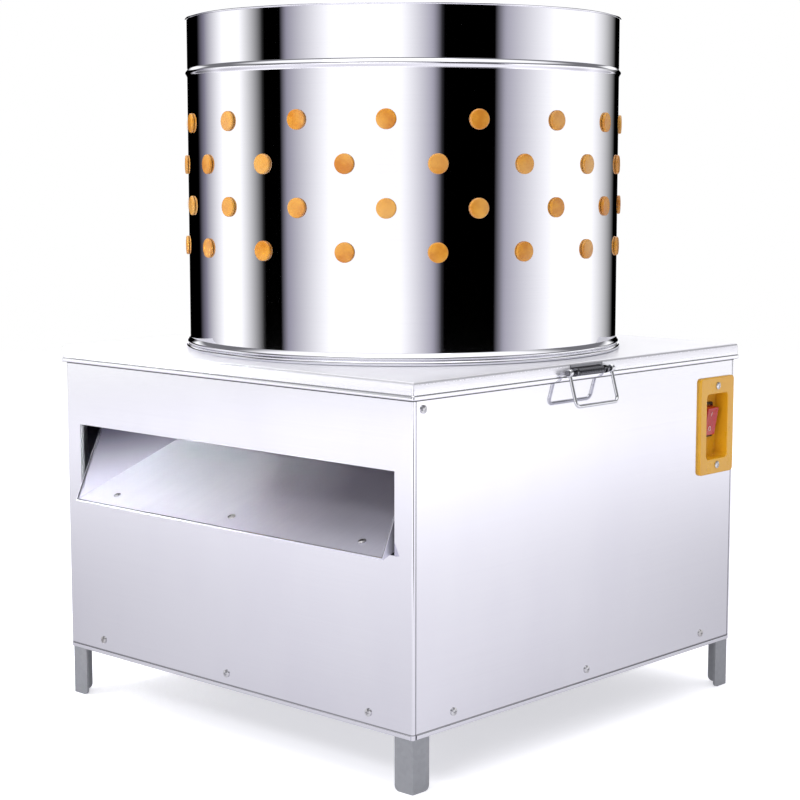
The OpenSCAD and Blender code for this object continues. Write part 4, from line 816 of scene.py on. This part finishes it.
def pale_floor():
    """Pale studio floor that glows a little, as if lit from below, so that its shadows stay light. The camera sees
    it near white; the panels mirror a lavender sweep with a painted shadow that deepens near the object, towards
    the back and on the left of the picture. Before and behind the object, the drum mirrors the tent's flags in it."""
    f = new_finish("pale_floor")
    x, y = f.axes()[:2]
    away = (x * x + y * y) ** 0.5
    ahead, aside = x * eye_x - y * eye_y, x * eye_y + y * eye_x
    near_eye, right, far = ahead.rise(-0.5, 0.4), aside.rise(-0.4, 0.4), away.rise(0.4, 3.0)
    wall, turn = round_tent(f, ahead, aside)
    flagged = away.rise(1.0, 1.5) * away.rise(3.4, 2.8) * (turn.rise(*sides_begin[::-1]) + turn.rise(*sides_end))
    specks = f.noise(f.place(), 90.0, 3.0)

    def tones(near, distant):
        """One side's tones close to the object and far from it, each a pair of greys for back and front."""
        return f.blend(far, *[f.blend(near_eye, *map(lavender, pair)) for pair in (near, distant)])

    # The darker near tones are a painted shadow of the object around its base
    sides = f.blend(right, tones((124, 170), (196, 204)), tones((135, 182), (216, 250)))
    sweep = f.blend(flagged, sides, f.blend(wall, lavender(60), lavender(206)))
    tone = f.blend(seen_by_camera(f), sweep, linear(222, 222, 226))
    return f.shader(Base_Color=tone, Roughness=0.75 + specks * 0.1, Alpha=away.rise(4.6, 2.6),
                    Emission_Color=tone, Emission_Strength=0.8)


floor = bpy.data.objects.new("studio_floor", bpy.data.meshes.new("studio_floor"))
floor_points, floor_faces = lathe([(r, 0) for r in floor_rings], 96)
floor.data.from_pydata((floor_points - (0, 0, floor_drop)).tolist(), [],
                       [f for block in floor_faces for f in block.tolist()])
floor.data.materials.append(pale_floor())
bpy.context.scene.collection.objects.link(floor)


def light_tent():
    """White tent with dark flags in its wall: the direction's angle round the object picks the wall's
    brightness. Low down, on the sides that the panels mirror, the wall is white. Above the wall is a dark
    gallery, open at the back, then a white roof. The camera itself sees plain white."""
    world = bpy.data.worlds.new("light_tent")
    bpy.context.scene.world = world
    f = Finish(world)
    way = f.node("ShaderNodeTexCoord").outputs["Generated"]
    turned = f.node("ShaderNodeMapping", {}, {"Vector": way, "Rotation": (0, 0, eye_turn)}).outputs[0]
    x, y, z = [Amount(f, s) for s in f.node("ShaderNodeSeparateXYZ", {}, {"Vector": turned}).outputs]
    wall, turn = round_tent(f, x, y)
    to_panels = turn.rise(*sides_begin) * turn.rise(*sides_end[::-1])
    wall_foot, wall_top, roof_edge, gap_edge = (-0.113, -0.101), (0.15, 0.24), (0.55, 0.75), (0.38, 0.41)
    wall_part = (1 - z.rise(*wall_foot[::-1]) * to_panels) * z.rise(*wall_top[::-1])
    gallery = z.rise(*wall_top) * z.rise(*roof_edge[::-1]) * turn.rise(*gap_edge[::-1])
    cloth = f.blend(gallery, f.blend(wall_part, (1, 1, 1, 1), wall), (0.16, 0.16, 0.17, 1))
    lit = f.node("ShaderNodeBackground", {}, {"Color": cloth, "Strength": 1.22})
    seen = f.node("ShaderNodeBackground", {}, {"Color": (1, 1, 1, 1), "Strength": 1.0})
    mixed = f.node("ShaderNodeMixShader", {}, {0: seen_by_camera(f), 1: lit.outputs[0], 2: seen.outputs[0]})
    f.node("ShaderNodeOutputWorld", {}, {"Surface": mixed.outputs[0]})


light_tent()


def softbox(name, where, size, power, aim=(0, 0, 0.4), spread=180, mirrored=False):
    """Square area light of a power in watts at where, turned so that its face looks at aim; spread is its
    beam's angle in degrees, and only a mirrored light is seen in polished metal."""
    light = bpy.data.lights.new(name, "AREA")
    light.size, light.energy, light.spread = size, power, math.radians(spread)
    lamp = bpy.data.objects.new(name, light)
    lamp.location, lamp.visible_glossy = where, mirrored
    back = np.array(where, float) - aim
    lamp.rotation_euler = (math.acos(back[2] / np.linalg.norm(back)), 0, math.atan2(back[1], back[0]) + math.pi / 2)
    bpy.context.scene.collection.objects.link(lamp)


softbox("overhead_softbox", (0.3, -0.4, 3.0), size=2.4, power=18, mirrored=True)
softbox("key_left", (-1.1, -2.6, 2.3), size=0.8, power=36)
softbox("chute_fill", (1.0, -2.9, 0.75), size=0.9, power=20, aim=(0, -0.25, 0.3))
softbox("chute_spot", (1.2, -2.6, 0.8), size=0.12, power=1.3, aim=(-0.2, -0.25, 0.27), spread=11)
